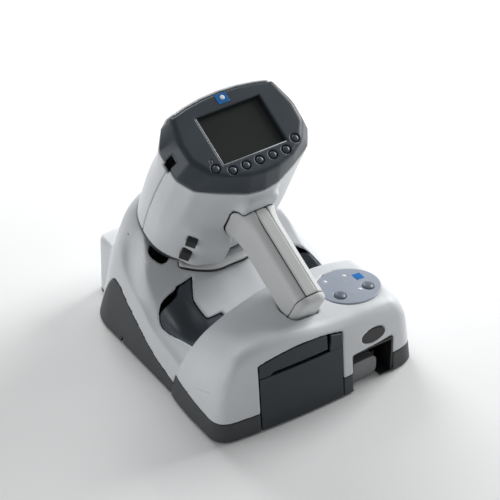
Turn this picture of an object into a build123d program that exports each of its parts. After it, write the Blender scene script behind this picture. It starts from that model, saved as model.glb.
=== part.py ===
"""Hand-held autorefractor docked in its printer and charging station.

World frame: millimetres, +Z up, origin on the table under the middle of the object,
front of the station (printer door) towards -Y, +X to the right seen from the front.
Handset parts are modelled in the display frame: origin at the middle of the screen,
local X right, local Y up the screen, local Z out of the screen. HANDSET places them.
"""
import math
import os

from build123d import *

# ---------------------------------------------------------------- driving dimensions
# station
FRONT_Y = -138.5
REAR_Y = 138.5
BLOCK_HALF_W = 116.0
BLOCK_REAR_Y = -42.0
MID_HALF_W = 111.0
BOX_HALF_W = 86.0
BOX_TOP = 70.0
SEAM_Z = 22.0
SKIN = 2.6
TRAY_BOTTOM_Z = 1.0
TRAY_FLOOR_Z = 3.6
BLOCK_DRAFT = 5.0
MID_DRAFT = 12.0
WALL_TOP = 126.0
SCREW_PLACES = ((-96, -60), (100, -52), (-92, 66), (92, 66), (0, -37))
SCREW_POST_R = 4.5
SCREW_HEAD_R = 3.6
SCREW_R = 1.45
FEET_PLACES = ((-92, -112), (100, -100), (-92, 88), (92, 88))
FOOT_R = 7.0
FOOT_H = 2.4
VENT_X = (-40, -28, -16, 16, 28, 40)
PORT_AT = (-46, 66, 92)
PORT_R = 9.8
# front views of the front block at its front edge, over the roll and at its rear edge
BLOCK_ARCHES = (
    (-150.0, ((-125, -1), (-111, 60), (-104, 72), (-90, 83), (-60, 89), (-20, 88),
              (24, 85), (46, 83), (84, 80), (99, 74), (111, 56), (125, -1))),
    (-118.0, ((-125, -1), (-111, 60), (-104, 81), (-90, 95), (-60, 101), (-20, 100),
              (24, 93), (46, 88), (84, 84), (99, 77), (111, 56), (125, -1))),
    (-90.0, ((-125, -1), (-111, 52), (-104, 70), (-90, 86), (-60, 95), (-20, 97),
             (24, 92), (46, 88), (84, 84), (99, 77), (111, 56), (125, -1))),
    (-40.0, ((-125, -1), (-112, 15), (-92, 47), (-81, 58), (-60, 70), (-31, 81),
             (-6, 86), (30, 87), (70, 84), (92, 77), (107, 56), (125, -1))),
)

# handset
SCREEN_Z = 241.8
SCREEN_Y = 2.0
TILT = 27.5
SCREEN_W = 72.0
SCREEN_H = 54.5
HEAD_LENGTH = 156.0
RING_LENGTH = 9.0
HEAD_FRONT = -22.0
HEAD_SECTIONS = ((-45.0, 76.0, 49.5), (-75.0, 76.5, 50.0), (-112.0, 74.5, 49.0), (-147.0, 70.5, 47.5))
HEAD_POWER = 2.5
HEAD_CENTRE_V = -3.5
GRIP_HALF_W = 19.0
GRIP_FRONT = -48.0
GRIP_BACK = -100.0
GRIP_END = -170.0
GRIP_TOP = -46.0
STRIP_END = -62.0
SHELL = 2.4
FACE_OUTLINE = ((-57, 37), (-40, 41.5), (-20, 44.6), (0, 45.6), (20, 44.6), (40, 41.5), (57, 37),
                (63.5, 8), (62.5, -12), (50, -31), (36, -40), (16, -45.6), (0, -47),
                (-16, -45.6), (-36, -40), (-50, -31), (-62.5, -12), (-63.5, 8))
BACK_OUTLINE = ((-60, 41), (-42, 45.2), (-20, 48.4), (0, 49.4), (20, 48.4), (42, 45.2), (60, 41),
                (74.5, 20), (74.5, -14), (64, -31), (42, -42.5), (17, -53.5), (0, -56),
                (-17, -53.5), (-42, -42.5), (-64, -31), (-74.5, -14), (-74.5, 20))

# optics in the head
OPTIC_V = -4.0
WINDOW_R = 24.0
BARREL_R = 22.0
PRISM_W = -76.0
PRISM_MODULE = 0.6
PRISM_TEETH = 72
PRISM_PINION_TEETH = 18
PINION_U = PRISM_MODULE * (PRISM_TEETH + PRISM_PINION_TEETH) / 2 + 0.3

# keys under the screen: place of each centre in the display frame
KEY_R = 3.75
KEY_ROW_V = -34.4
KEY_PITCH = 14.9
KEY_SIDE = (44.4, -26.9)
PLATE = 3.0

# printer
DOOR_X = -22.0
DOOR_HALF_W = 47.0
DOOR_TOP = 61.0
STRIP_TOP = 78.0
DOOR_T = 3.0
DOOR_BACK_Y = -129.0
HINGE_Y = -131.5
HINGE_Z = 8.0
HINGE_R = 1.5
HINGE_LUGS = (-63.0, 19.0)
SLOT_W = 62.0
ROLL_R = 24.0
ROLL_W = 57.5
ROLL_Y = -84.0
ROLL_Z = 31.8
PLATEN_R = 5.0
ROLL_X = -25.0
PLATEN_Y = -122.0
PLATEN_Z = 55.5
GEAR_MODULE = 0.5
GEAR_X = 11.0
PLATEN_TEETH = 24
IDLER_TEETH = 36
MOTOR_TEETH = 18
GEAR_LINE = 0.96
GEAR_GAP = 0.25
IDLER_STEP = GEAR_MODULE * (PLATEN_TEETH + IDLER_TEETH) / 2 + GEAR_GAP
MOTOR_STEP = GEAR_MODULE * (IDLER_TEETH + MOTOR_TEETH) / 2 + GEAR_GAP
IDLER_Y = PLATEN_Y + IDLER_STEP * math.sin(GEAR_LINE)
IDLER_Z = PLATEN_Z - IDLER_STEP * math.cos(GEAR_LINE)
MOTOR_Y = IDLER_Y + MOTOR_STEP * math.sin(GEAR_LINE)
MOTOR_Z = IDLER_Z - MOTOR_STEP * math.cos(GEAR_LINE)

# spare battery and its bay
BAY_X0 = 37.0
BAY_X1 = 86.0
BAY_TOP = 43.0
BAY_DEPTH = 78.0
BATTERY_W = 31.0
BATTERY_H = 22.5
BATTERY_L = 64.0
BATTERY_FRONT_Y = -127.0

# oval window of the infrared link, above the bay
IR_X = 62.0
IR_Z = 56.0
IR_A = 13.5
IR_B = 7.5

# control panel on the right of the station's top
PANEL_X = 62.0
PANEL_Y = -84.0
PANEL_Z = 86.0
PANEL_A = 33.0
PANEL_B = 27.0
BUTTON_R = 6.5
BUTTON_PLACES = {"power_button": (19.0, -9.5), "feed_button": (-15.0, -9.5)}
LAMP_PLACES = ((6.0, 15.5), (-16.5, 15.5), (7.0, -9.5))

HANDSET = Location((0, SCREEN_Y, SCREEN_Z), (TILT, 0, 0))


# ---------------------------------------------------------------- helpers
def block(x0, x1, y0, y1, z0, z1):
    """Box between two corners."""
    return Pos((x0 + x1) / 2, (y0 + y1) / 2, (z0 + z1) / 2) * Box(x1 - x0, y1 - y0, z1 - z0)


def rod(r, length, at, axis="Z"):
    """Cylinder centred on a point, along one axis."""
    turn = {"Z": (0, 0, 0), "X": (0, 90, 0), "Y": (90, 0, 0)}[axis]
    return Location(at, turn) * Cylinder(r, length)


def ring(r_out, r_in, length, at, axis="Z"):
    """Hollow cylinder centred on a point."""
    return rod(r_out, length, at, axis) - rod(r_in, length + 2, at, axis)


def prism_x(points, x0, x1):
    """Polygon in the YZ plane pushed along X."""
    face = make_face(Polyline(*[(0, y, z) for y, z in points], close=True))
    return Pos(x0, 0, 0) * extrude(face, amount=x1 - x0, dir=(1, 0, 0))


def prism_y(points, y0, y1):
    """Polygon in the XZ plane pushed along Y."""
    face = make_face(Polyline(*[(x, 0, z) for x, z in points], close=True))
    return Pos(0, y0, 0) * extrude(face, amount=y1 - y0, dir=(0, 1, 0))


def prism_z(points, z0, z1, taper=0.0):
    """Polygon in the XY plane pushed up, leaning in by a taper angle."""
    face = make_face(Polyline(*[(x, y, 0) for x, y in points], close=True))
    return Pos(0, 0, z0) * extrude(face, amount=z1 - z0, taper=taper)


def rounded_plate(w, h, r, z0, z1, at=(0, 0)):
    """Rounded rectangle plate."""
    return Pos(at[0], at[1], z0) * extrude(RectangleRounded(w, h, r), amount=z1 - z0)


def front_y(x, z):
    """The station's bowed front face."""
    return FRONT_Y + 7.0 * (x / 105.0) ** 2 + 0.09 * z


# ---------------------------------------------------------------- station outlines
def mirrored(right_side):
    """Close a left-right symmetric outline from its right half, front to rear."""
    return right_side + [(-x, y) for x, y in reversed(right_side) if x > 0]


def front_arc(inset):
    """Points of the bowed front edge, right half from the middle out."""
    xs = (0.0, 40.0, 75.0, 103.0)
    return [(x, front_y(x, 0) + inset) for x in xs]


def block_plan(inset):
    """Plan of the front block."""
    w = BLOCK_HALF_W - inset
    right = front_arc(inset) + [(w - 4, -125), (w, -116), (w, BLOCK_REAR_Y - inset)]
    return mirrored(right)


def mid_plan(inset):
    """Plan of the body behind the block."""
    w = MID_HALF_W - inset
    rear = 106.0 - inset
    right = [(w, BLOCK_REAR_Y - 3 * SKIN), (w, 60), (w - 2, 92), (w - 12, rear)]
    return mirrored(right)


def block_form(inset):
    """Top of the front block: a hump over the printer that falls to the left rear corner."""
    faces = []
    for y, arch in BLOCK_ARCHES:
        shrink = 1 - inset / BLOCK_HALF_W
        points = [(x * shrink, y, z - 1.15 * inset if z > 0 else z) for x, z in arch]
        faces.append(make_face(Polyline(*points, close=True)))
    return loft(faces, ruled=True)


def mid_top(inset):
    """Side view of the rims and of the wall behind the nose."""
    t = inset
    return [(-60, -1), (-60, 40 - t), (10, 43 - t), (36, 54 - t), (64, 65 - t), (82, 75 - t),
            (96, 100 - t), (107, 124 - t), (112, WALL_TOP - t), (118 - t, 120 - t), (118 - t, -1)]


def wall_arch(inset):
    """Front view of the cradle wall: an arch over the nose."""
    t = inset
    return [(-125, -1), (-111 + t, 30), (-100 + t, 65), (-85 + t, 92), (-70 + t, 110 - t),
            (-48, 123 - t), (-20, WALL_TOP - t), (20, WALL_TOP - t), (48, 123 - t),
            (70 - t, 110 - t), (85 - t, 92), (100 - t, 65), (111 - t, 30), (125, -1)]


def grip_room(gap):
    """Space that the grip sweeps when the handset lifts off, in the display frame."""
    w = GRIP_HALF_W + gap
    return HANDSET * block(-w, w, GRIP_END - gap, -40, GRIP_BACK - gap, 220)


def nose_room(gap):
    """Space that the head sweeps when the handset lifts off."""
    face = RectangleRounded(2 * (77 + gap), 2 * (50.5 + gap), 43 + gap)
    body = Pos(0, HEAD_CENTRE_V, -HEAD_LENGTH - gap) * extrude(face, amount=HEAD_LENGTH + 240)
    lug = block(-66 - gap, -14 + gap, -66 - gap, -20, -150 - gap, 60)
    return HANDSET * (body + lug)


def valley(inset):
    """Open space between the block, the rims and the cradle."""
    t = inset
    floor = [(BLOCK_REAR_Y - t, 200), (BLOCK_REAR_Y - t, 36 - t), (6, 40 - t), (17, 67 - t),
             (33, 68 - t), (40, 72 - t), (108, 112), (108, 200)]
    low = prism_x(floor, -93 - t, 93 + t)
    ramp = prism_x([(34, 76 - t), (96 + t, 96), (96 + t, 200), (34, 200)], -84 - t, 84 + t)
    return low - block(-120, 120, 92 + t, 140, 0, 300) + ramp


def well_room(side, gap):
    """Pocket of one finger well, on the left (-1) or right (+1) of the spine."""
    xs = sorted((side * (52 - gap), side * (91 + gap)))
    return block(xs[0], xs[1], -41 + 0.2 - gap, 30 + gap, 20 - gap, 90)


def station_solid(inset):
    """Outer form of the station, or its inside when inset by the wall thickness."""
    low = TRAY_BOTTOM_Z if inset == 0 else TRAY_FLOOR_Z
    front = prism_z(block_plan(inset), low, 112, BLOCK_DRAFT) & block_form(inset)
    mid = prism_z(mid_plan(inset), low, 112, MID_DRAFT)
    mid = mid & prism_x(mid_top(inset), -130, 130)
    wall = block(-101 + inset, 101 - inset, 78, 116 - inset, low, 130)
    wall = wall & prism_x(mid_top(inset), -130, 130) & prism_y(wall_arch(inset), 60, 130)
    box_w = BOX_HALF_W - inset
    box = block(-box_w, box_w, 90, REAR_Y - inset, low, BOX_TOP - inset)
    box = fillet(box.edges().filter_by(Axis.Z).group_by(Axis.Y)[-1], 10 - inset)
    body = front + mid + wall + box
    return body - valley(inset) - nose_room(3.0 + inset) - grip_room(1.6 + inset)


def tray_zone():
    """Everything that belongs to the dark lower tray: its top edge is the seam."""
    front = block(-130, 130, -150, BLOCK_REAR_Y, -1, SEAM_Z)
    side = [(BLOCK_REAR_Y, -1), (BLOCK_REAR_Y, 12.5), (5, 21), (38, 35), (78, 54), (90, 50),
            (104, 8), (104, -1)]
    back = block(-130, 130, 100, 150, -1, 8)
    return front + prism_x(side, -130, 130) + back


def door_opening(gap):
    """Room of the door and of the fixed strip above it."""
    w = DOOR_HALF_W + gap
    return block(DOOR_X - w, DOOR_X + w, -150, -116, -1, STRIP_TOP + gap)


def bay_opening(gap):
    """Room of the spare battery bay."""
    return block(BAY_X0 - gap, BAY_X1 + gap, -150, FRONT_Y + BAY_DEPTH + gap, -1, BAY_TOP + gap)


def panel_place():
    """The control panel's place: it leans to the right with the top of the block."""
    return Location((PANEL_X, PANEL_Y, PANEL_Z), (0, 6.0, 0))


def panel_room(gap):
    """Recess for the oval control panel."""
    return panel_place() * Pos(0, 0, -3 - gap) * extrude(Ellipse(PANEL_A + gap, PANEL_B + gap), amount=30)


# ---------------------------------------------------------------- station shells
def station_shell():
    """The whole hollow skin of the station before it is parted at the seam."""
    return station_solid(0) - station_solid(SKIN)


def cut_openings(shell):
    """Openings in the skin for the parts that come through it."""
    shell = shell - door_opening(0.4) - bay_opening(0.2)
    for side in (-1, 1):
        shell = shell - well_room(side, 0.1)
    return shell


def top_shell(shell):
    """Light upper shell."""
    part = shell - tray_zone() - panel_room(0.1)
    oval_hole = Ellipse(IR_A + 0.1, IR_B + 0.1)
    window = Location((IR_X, -130, IR_Z), (90, 0, 0)) * extrude(oval_hole, amount=12, both=True)
    lip = Ellipse(PANEL_A + 2, PANEL_B + 2) - Ellipse(PANEL_A - 1, PANEL_B - 1)
    seat = panel_place() * Pos(0, 0, -6) * extrude(lip, amount=2.9)
    part = part + (seat & station_solid(0)) - window - rod(10.2, 12, PORT_AT, "Z")
    for x, y in BUTTON_PLACES.values():
        part = part - panel_place() * rod(BUTTON_R + 1.6, 10, (x, y, -7))
    part = part - block(-30.1, 30.1, 130, 145, 22.3, 45.7)
    part = part - HANDSET * block(-9.1, 9.1, -156.1, -135.9, -108, -98)
    return largest(part)


def base_tray(shell):
    """Dark lower tray with its floor, ribs and screw posts."""
    part = shell & tray_zone()
    for x in VENT_X:
        part = part - block(x - 1.5, x + 1.5, 40, 96, -1, TRAY_FLOOR_Z + 1)
    for x, y in SCREW_PLACES:
        part = part + rod(SCREW_POST_R, 14, (x, y, 9.0))
        part = part - rod(SCREW_R + 0.05, 30, (x, y, 12))
        part = part - rod(SCREW_HEAD_R + 0.4, 3.6, (x, y, 1.8))
    for x, y in FEET_PLACES:
        part = part - rod(FOOT_R + 0.1, 5, (x, y, 0))
    return largest(part)


def largest(part):
    """Keep the main solid of a cut part."""
    return max(part.solids(), key=lambda s: s.volume)


def rubber_feet():
    """Four low feet let into the tray."""
    return [rod(FOOT_R, FOOT_H, (x, y, FOOT_H / 2)) for x, y in FEET_PLACES]


def base_screws():
    """Screws that hold the tray to the top shell."""
    screws = []
    for x, y in SCREW_PLACES:
        screws.append(rod(SCREW_HEAD_R, 1.8, (x, y, 2.7)) + rod(SCREW_R, 10, (x, y, 8)))
    return screws


def finger_well(side):
    """Dark concave insert beside the spine."""
    outer = well_room(side, -0.15) & block(-120, 120, -60, 60, 10, 58)
    x_mid = side * 71.5
    dish = Pos(x_mid, -6, 62) * scale(Sphere(1), by=(18.5, 34, 34))
    dish = dish + Pos(0, 0, 14) * dish
    top = prism_x([(-60, 38), (10, 42), (32, 56), (32, 80), (-60, 80)], -120, 120)
    part = outer - dish - top
    under = block(-120, 120, -38, 24, 10, 24)
    return largest(part - (under & well_room(side, -4)))


def rest_pad():
    """Soft pad along the front lip of the cradle, under the nose."""
    return rounded_plate(62, 9, 3.5, 68.1, 73.0, at=(0, 25.5)) & block(-40, 40, 20, 32, 60, 74)


def control_panel():
    """Oval grey panel with holes for its buttons and lamps."""
    plate = Pos(0, 0, -3) * extrude(Ellipse(PANEL_A, PANEL_B), amount=3.6)
    for x, y in BUTTON_PLACES.values():
        plate = plate - rod(BUTTON_R + 0.35, 20, (x, y, 0))
    for x, y in LAMP_PLACES:
        plate = plate - rod(2.1, 20, (x, y, 0))
    plate = plate - block(15.9, 26.1, 4.9, 15.1, 0.1, 2)
    return panel_place() * plate


def panel_button(name):
    """Domed push button with a retaining flange."""
    x, y = BUTTON_PLACES[name]
    cap = rod(BUTTON_R, 7.5, (x, y, -1.0)) & Pos(x, y, -9.2) * Sphere(13.6)
    return panel_place() * (cap + rod(BUTTON_R + 1.2, 1.2, (x, y, -4.35)))


def panel_lamps():
    """Three light guides in the panel."""
    return [panel_place() * rod(2.0, 3.4, (x, y, -1.1)) for x, y in LAMP_PLACES]


def ir_window():
    """Dark oval window of the infrared link in the front."""
    y = front_y(IR_X, IR_Z)
    plug = Location((IR_X, y, IR_Z), (90, 0, 0)) * extrude(Ellipse(IR_A, IR_B), amount=8, both=True)
    side = [(y - 1.4, IR_Z - 10), (y + 0.4, IR_Z + 10), (y + 4, IR_Z + 10), (y + 4, IR_Z - 10)]
    return plug & prism_x(side, IR_X - 20, IR_X + 20)


# ---------------------------------------------------------------- printer
def door_skin(z0, z1, x0, x1, y_in):
    """Slab that follows the bowed front."""
    pts = [(x, front_y(x, 0) + 0.4) for x in (x0, (x0 * 2 + x1) / 3, (x0 + x1 * 2) / 3, x1)]
    plan = pts + [(x1, y_in), (x0, y_in)]
    slab = prism_z(plan, z0, z1)
    side = [(-160, z0 - 1), (FRONT_Y - 1.0, 0), (FRONT_Y - 1.0 + 0.09 * 90, 90), (-100, 90), (-100, z0 - 1)]
    return slab & prism_x(side, x0 - 1, x1 + 1)


def printer_door():
    """Door with a raised ear for its catch, roller arms and hinge eyes."""
    x0, x1 = DOOR_X - DOOR_HALF_W, DOOR_X + DOOR_HALF_W
    door = door_skin(HINGE_Z - 6.5, DOOR_TOP, x0, x1, DOOR_BACK_Y)
    door = door + door_skin(DOOR_TOP - 1, STRIP_TOP - 1, x1 - 15, x1, DOOR_BACK_Y)
    door = door - Pos(0, DOOR_T, 0) * door_skin(HINGE_Z + 10, DOOR_TOP - 5, x0 + 3, x1 - 3, DOOR_BACK_Y + 2)
    foot = block(x0 - 1, x1 + 1, -150, -110, -5, HINGE_Z) - rod(7.4, 120, (DOOR_X, HINGE_Y, HINGE_Z), "X")
    door = door - foot
    door = door - block(DOOR_X - SLOT_W / 2, DOOR_X + SLOT_W / 2, -160, -100, DOOR_TOP - 2.4, 90)
    door = door - block(x1 - 14.4, x1 - 1.0, -160, front_y(x1, 70) + 2.2, 66.4, 79)
    for x in HINGE_LUGS:
        door = door - block(x - 1.6, x + 1.6, HINGE_Y - 3.4, -100, -2, HINGE_Z + 6.5)
        door = door - rod(HINGE_R + 0.03, 10, (x, HINGE_Y, HINGE_Z), "X")
    for x in (x0 + 9, x1 - 18.0):
        arm = block(x - 2, x + 2, DOOR_BACK_Y - 3.0, PLATEN_Y + 2, PLATEN_Z - 3.0, PLATEN_Z + 3.0)
        hub = rod(3.4, 4, (x, PLATEN_Y, PLATEN_Z), "X")
        door = door + arm + hub - rod(HINGE_R + 0.05, 12, (x, PLATEN_Y, PLATEN_Z), "X")
    return largest(door)


def door_hinge_pins():
    """Steel pins that the door turns on, held in the lugs of the chassis."""
    return [rod(HINGE_R, 9, (x, HINGE_Y, HINGE_Z), "X") for x in HINGE_LUGS]


def door_catch():
    """Finger tab in the door's ear that frees the door."""
    x1 = DOOR_X + DOOR_HALF_W
    y = front_y(x1 - 8, 72)
    tab = block(x1 - 14.0, x1 - 1.4, y - 0.4, y + 1.5, 67.0, 77.0)
    return fillet(tab.edges().filter_by(Axis.X).group_by(Axis.Y)[0], 0.6)


def printer_strip():
    """Fixed dark strip above the paper slot."""
    x0, x1 = DOOR_X - DOOR_HALF_W, DOOR_X + DOOR_HALF_W
    return door_skin(DOOR_TOP + 1.2, STRIP_TOP - 0.2, x0, x1 - 16, DOOR_BACK_Y - 1.0)


def platen_roller():
    """Rubber roller, carried by the door."""
    return ring(PLATEN_R, HINGE_R, SLOT_W - 3, (DOOR_X - 5, PLATEN_Y, PLATEN_Z), "X")


def platen_shaft():
    """Steel shaft of the roller with its drive gear."""
    shaft = rod(HINGE_R, GEAR_X + 1.5 + 63, ((GEAR_X + 1.5 - 63) / 2, PLATEN_Y, PLATEN_Z), "X")
    return shaft + gear(PLATEN_TEETH, GEAR_MODULE, 3.0, (GEAR_X, PLATEN_Y, PLATEN_Z), 1.0)


def mesh_phase(phase, teeth, other_teeth, angle):
    """Turn of the second gear that sets its gaps round the first gear's teeth."""
    lead = (phase - angle) * teeth / (2 * math.pi)
    return angle + math.pi + (0.5 - lead) * 2 * math.pi / other_teeth


def gear(teeth, module, width, at, bore, phase=0.0):
    """Spur gear with flat-topped teeth, on the X axis."""
    r_root = teeth * module / 2 - module
    r_out = teeth * module / 2 + module * 0.8
    step = 2 * math.pi / teeth
    points = []
    for i in range(teeth):
        for turn, r in ((-0.30, r_root), (-0.13, r_out), (0.13, r_out), (0.30, r_root)):
            a = phase + (i + turn) * step
            points.append((r * math.cos(a), r * math.sin(a)))
    body = Pos(0, 0, -width / 2) * extrude(make_face(Polyline(*points, close=True)), amount=width)
    return Location(at, (0, 90, 0)) * (body - Cylinder(bore, width + 2))


def thermal_head():
    """Print head bar with its heat sink."""
    z = PLATEN_Z + PLATEN_R + 0.25
    bar = block(DOOR_X - 36, DOOR_X + 28, PLATEN_Y, PLATEN_Y + 12, z, z + 3)
    for y in (1, 4, 7):
        bar = bar + block(DOOR_X - 34, DOOR_X + 26, PLATEN_Y + y, PLATEN_Y + y + 1.2, z + 2.8, z + 8)
    return bar


def printer_chassis():
    """Frame that holds the paper, the head, the gears and the hinge pins."""
    x0, x1 = ROLL_X - ROLL_W / 2 - 2.0, ROLL_X + ROLL_W / 2 + 2.0
    bucket = block(x0, x1, ROLL_Y - 28, ROLL_Y + 28, 6, 58)
    bucket = bucket - block(x0 + 1.4, x1 - 1.4, ROLL_Y - 31, ROLL_Y + 26.6, 7.4, 70)
    part = bucket + block(-67, 23, -123, -52, 4.2, 6.2)
    for x in HINGE_LUGS:
        lug = block(x - 1.2, x + 1.2, HINGE_Y, -120, 4.2, HINGE_Z + 3)
        part = part + lug + rod(3.0, 2.4, (x, HINGE_Y, HINGE_Z), "X")
        part = part - rod(HINGE_R, 20, (x, HINGE_Y, HINGE_Z), "X")
    post = block(13.2, 15.2, PLATEN_Y + 12, -88, 5, 66)
    beam = block(x0, 15.2, PLATEN_Y + 12, PLATEN_Y + 16, PLATEN_Z + PLATEN_R + 0.25, 66)
    part = part + post + beam + block(x0, x0 + 1.4, PLATEN_Y + 12, PLATEN_Y + 16, 50, 66)
    part = part - rod(1.53, 10, (14.2, IDLER_Y, IDLER_Z), "X") - rod(3.2, 10, (14.2, MOTOR_Y, MOTOR_Z), "X")
    return largest(part)


def idler_gear():
    """Gear between the motor and the roller, on its own stub axle."""
    phase = mesh_phase(0.0, PLATEN_TEETH, IDLER_TEETH, GEAR_LINE)
    wheel = gear(IDLER_TEETH, GEAR_MODULE, 3.0, (GEAR_X, IDLER_Y, IDLER_Z), 1.0, phase)
    return wheel + rod(1.5, 6.5, (GEAR_X + 1.75, IDLER_Y, IDLER_Z), "X")


def motor_pinion():
    """Small gear on the feed motor's shaft."""
    shaft = rod(1.0, 16, (GEAR_X + 6.5, MOTOR_Y, MOTOR_Z), "X")
    phase = mesh_phase(0.0, PLATEN_TEETH, IDLER_TEETH, GEAR_LINE)
    phase = mesh_phase(phase, IDLER_TEETH, MOTOR_TEETH, GEAR_LINE)
    return gear(MOTOR_TEETH, GEAR_MODULE, 3.0, (GEAR_X, MOTOR_Y, MOTOR_Z), 0.9, phase) + shaft


def feed_motor():
    """Stepping motor of the printer."""
    return rod(9.5, 15, (23.0, MOTOR_Y, MOTOR_Z), "X") - rod(1.04, 40, (23.0, MOTOR_Y, MOTOR_Z), "X")


def paper_roll():
    """Thermal paper roll, 58 mm type."""
    return ring(ROLL_R, 6.0, ROLL_W, (ROLL_X, ROLL_Y, ROLL_Z), "X")


def paper_core():
    """Plastic core of the roll."""
    return ring(6.0, 4.0, ROLL_W, (ROLL_X, ROLL_Y, ROLL_Z), "X")


# ---------------------------------------------------------------- battery bay and electronics
def battery_bay():
    """Black box behind the notch at the right front."""
    x0, x1 = BAY_X0, BAY_X1
    y1 = FRONT_Y + BAY_DEPTH
    outer = block(x0, x1, -131.5, y1, 0.6, BAY_TOP)
    inner = block(x0 + 2, x1 - 2, -150, y1 - 2, 2.4, BAY_TOP - 2)
    grip_gap = block(x0 + 2, BAY_X1 - 14, -150, -122, -1, 5)
    part = outer - inner - grip_gap
    guide = block(x0 + BATTERY_W + 3.2, x0 + BATTERY_W + 5.2, -118, y1 - 1, 2, 22)
    return part + guide - block(x0 + 8, x0 + 28, y1 - 3, y1 + 1, 8, 18)


def spare_battery():
    """Spare battery pack lying in its bay."""
    x0 = BAY_X0 + 2.4
    pack = block(x0, x0 + BATTERY_W, BATTERY_FRONT_Y, BATTERY_FRONT_Y + BATTERY_L, 2.8, 2.8 + BATTERY_H)
    pack = fillet(pack.edges().filter_by(Axis.Y).group_by(Axis.X)[-1], 7)
    return fillet(pack.edges().group_by(Axis.Y)[0], 1.5)


def station_board():
    """Main board of the station."""
    board = block(-70, 70, -30, 62, 12, 13.6)
    for x0, x1, y0, y1, top in ((-50, -30, 0, 20, 16), (-10, 10, -10, 6, 15.5), (20, 50, 20, 40, 18)):
        board = board + block(x0, x1, y0, y1, 13.5, top)
    return board


def power_supply():
    """Closed mains power supply."""
    return block(-70, 36, 100, 128, 10, 52)


def power_inlet():
    """Appliance inlet in the rear wall."""
    body = block(-13, 13, 130.5, REAR_Y - 0.2, 23, 45) + block(-30, 30, 133.4, REAR_Y - 0.2, 22.4, 45.6)
    body = body - block(-11, 11, 132.5, 145, 26, 42)
    for x, z in ((0, 37.5), (-5.5, 31), (5.5, 31)):
        body = body + block(x - 1, x + 1, 131, 137, z - 2, z + 2)
    return body


def cradle_port():
    """Black oval port in the cradle's ramp."""
    x, y, z = PORT_AT
    return ring(PORT_R, 7.0, 9, (x, y, z - 2)) + rod(PORT_R, 1.5, (x, y, z - 5.8))


def dock_contacts():
    """Charging contact block in the floor of the grip's pocket."""
    base = block(-9, 9, -10, 10, -106.5, -102.2)
    for x in (-5, 0, 5):
        base = base + rod(1.0, 1.2, (x, 0, -101.9))
    return HANDSET * Pos(0, -146, 0) * base


# ---------------------------------------------------------------- handset shells
def oval(a, b, angle):
    """Radius of the head's oval section in one direction."""
    across = (abs(math.cos(angle)) / a) ** HEAD_POWER
    upright = (abs(math.sin(angle)) / b) ** HEAD_POWER
    return (across + upright) ** (-1 / HEAD_POWER)


def head_solid(inset):
    """Head form from behind the bezel to the nose ring."""
    fronts = [(x * (1 - inset / 60), y * (1 - inset / 50)) for x, y in BACK_OUTLINE]
    faces = [make_face(Polyline(*[(x, y, HEAD_FRONT) for x, y in fronts], close=True))]
    for z, a, b in HEAD_SECTIONS:
        ring_points = []
        for x, y in BACK_OUTLINE:
            angle = math.atan2(y - HEAD_CENTRE_V, x)
            r = oval(a - inset, b - inset, angle)
            ring_points.append((r * math.cos(angle), HEAD_CENTRE_V + r * math.sin(angle), z))
        faces.append(make_face(Polyline(*ring_points, close=True)))
    return loft(faces, ruled=True)


def port_bulge(inset):
    """Raised housing for the ports on the lower left of the head."""
    t = inset
    pts = [(-62 + t, -20), (-64 + t, -36), (-44 + t, -58 + t), (-23 - t, -62 + t), (-21 - t, -20)]
    bulge = prism_z(pts, -146 + t, -82 - t)
    return bulge


def grip_solid(inset):
    """Grip form from the head to its end."""
    w = GRIP_HALF_W - inset
    depth = (GRIP_FRONT - GRIP_BACK) - 2 * inset
    mid = (GRIP_FRONT + GRIP_BACK) / 2
    face = Plane.XZ.offset(-(GRIP_END + inset)) * Pos(0, mid) * RectangleRounded(2 * w, depth, 14 - inset)
    flare = []
    for v, grow in ((-78.0, 0.0), (-66.0, 2.0), (-57.0, 6.0), (GRIP_TOP, 12.0)):
        outline = RectangleRounded(2 * (w + grow), depth + 1.2 * grow, 14 - inset + grow / 2)
        flare.append(Plane.XZ.offset(-v) * Pos(0, mid) * outline)
    return extrude(face, amount=-(GRIP_TOP - GRIP_END - inset)) + loft(flare, ruled=True)


def head_shell():
    """Hollow head before it is parted."""
    outer = head_solid(0) + (port_bulge(0) - head_solid(1.0))
    inner = head_solid(SHELL) + port_bulge(SHELL)
    return outer - inner


def head_top(shell):
    """Upper half of the head."""
    return HANDSET * largest(shell & block(-100, 100, 1.0, 80, -200, 0))


def head_bottom(shell):
    """Lower half of the head with the grip's mouth and the port holes."""
    part = shell & block(-100, 100, -90, 0.9, -200, 0)
    part = part - block(-16.9, 16.9, -70, -40, GRIP_BACK + 2.2, GRIP_FRONT - 2.2)
    part = part - port_place(0) * Box(8.2, 10.2, 9.2)
    part = part - port_place(1) * Box(7.2, 10.2, 13.2)
    return HANDSET * largest(part)


def port_place(index):
    """Places of the two ports on the bulge's slanting side."""
    z = (-101.0, -126.0)[index]
    return Location((-54, -47, z), (0, 0, 45))


def port_socket(index):
    """Moulded socket with a hollow mouth."""
    w, h = ((8.0, 9.0), (7.0, 13.0))[index]
    body = Box(w, 10, h) - Box(w - 2.4, 12, h - 2.4) + Pos(0, 3, 0) * Box(w, 3.5, h)
    return HANDSET * port_place(index) * body


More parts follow.
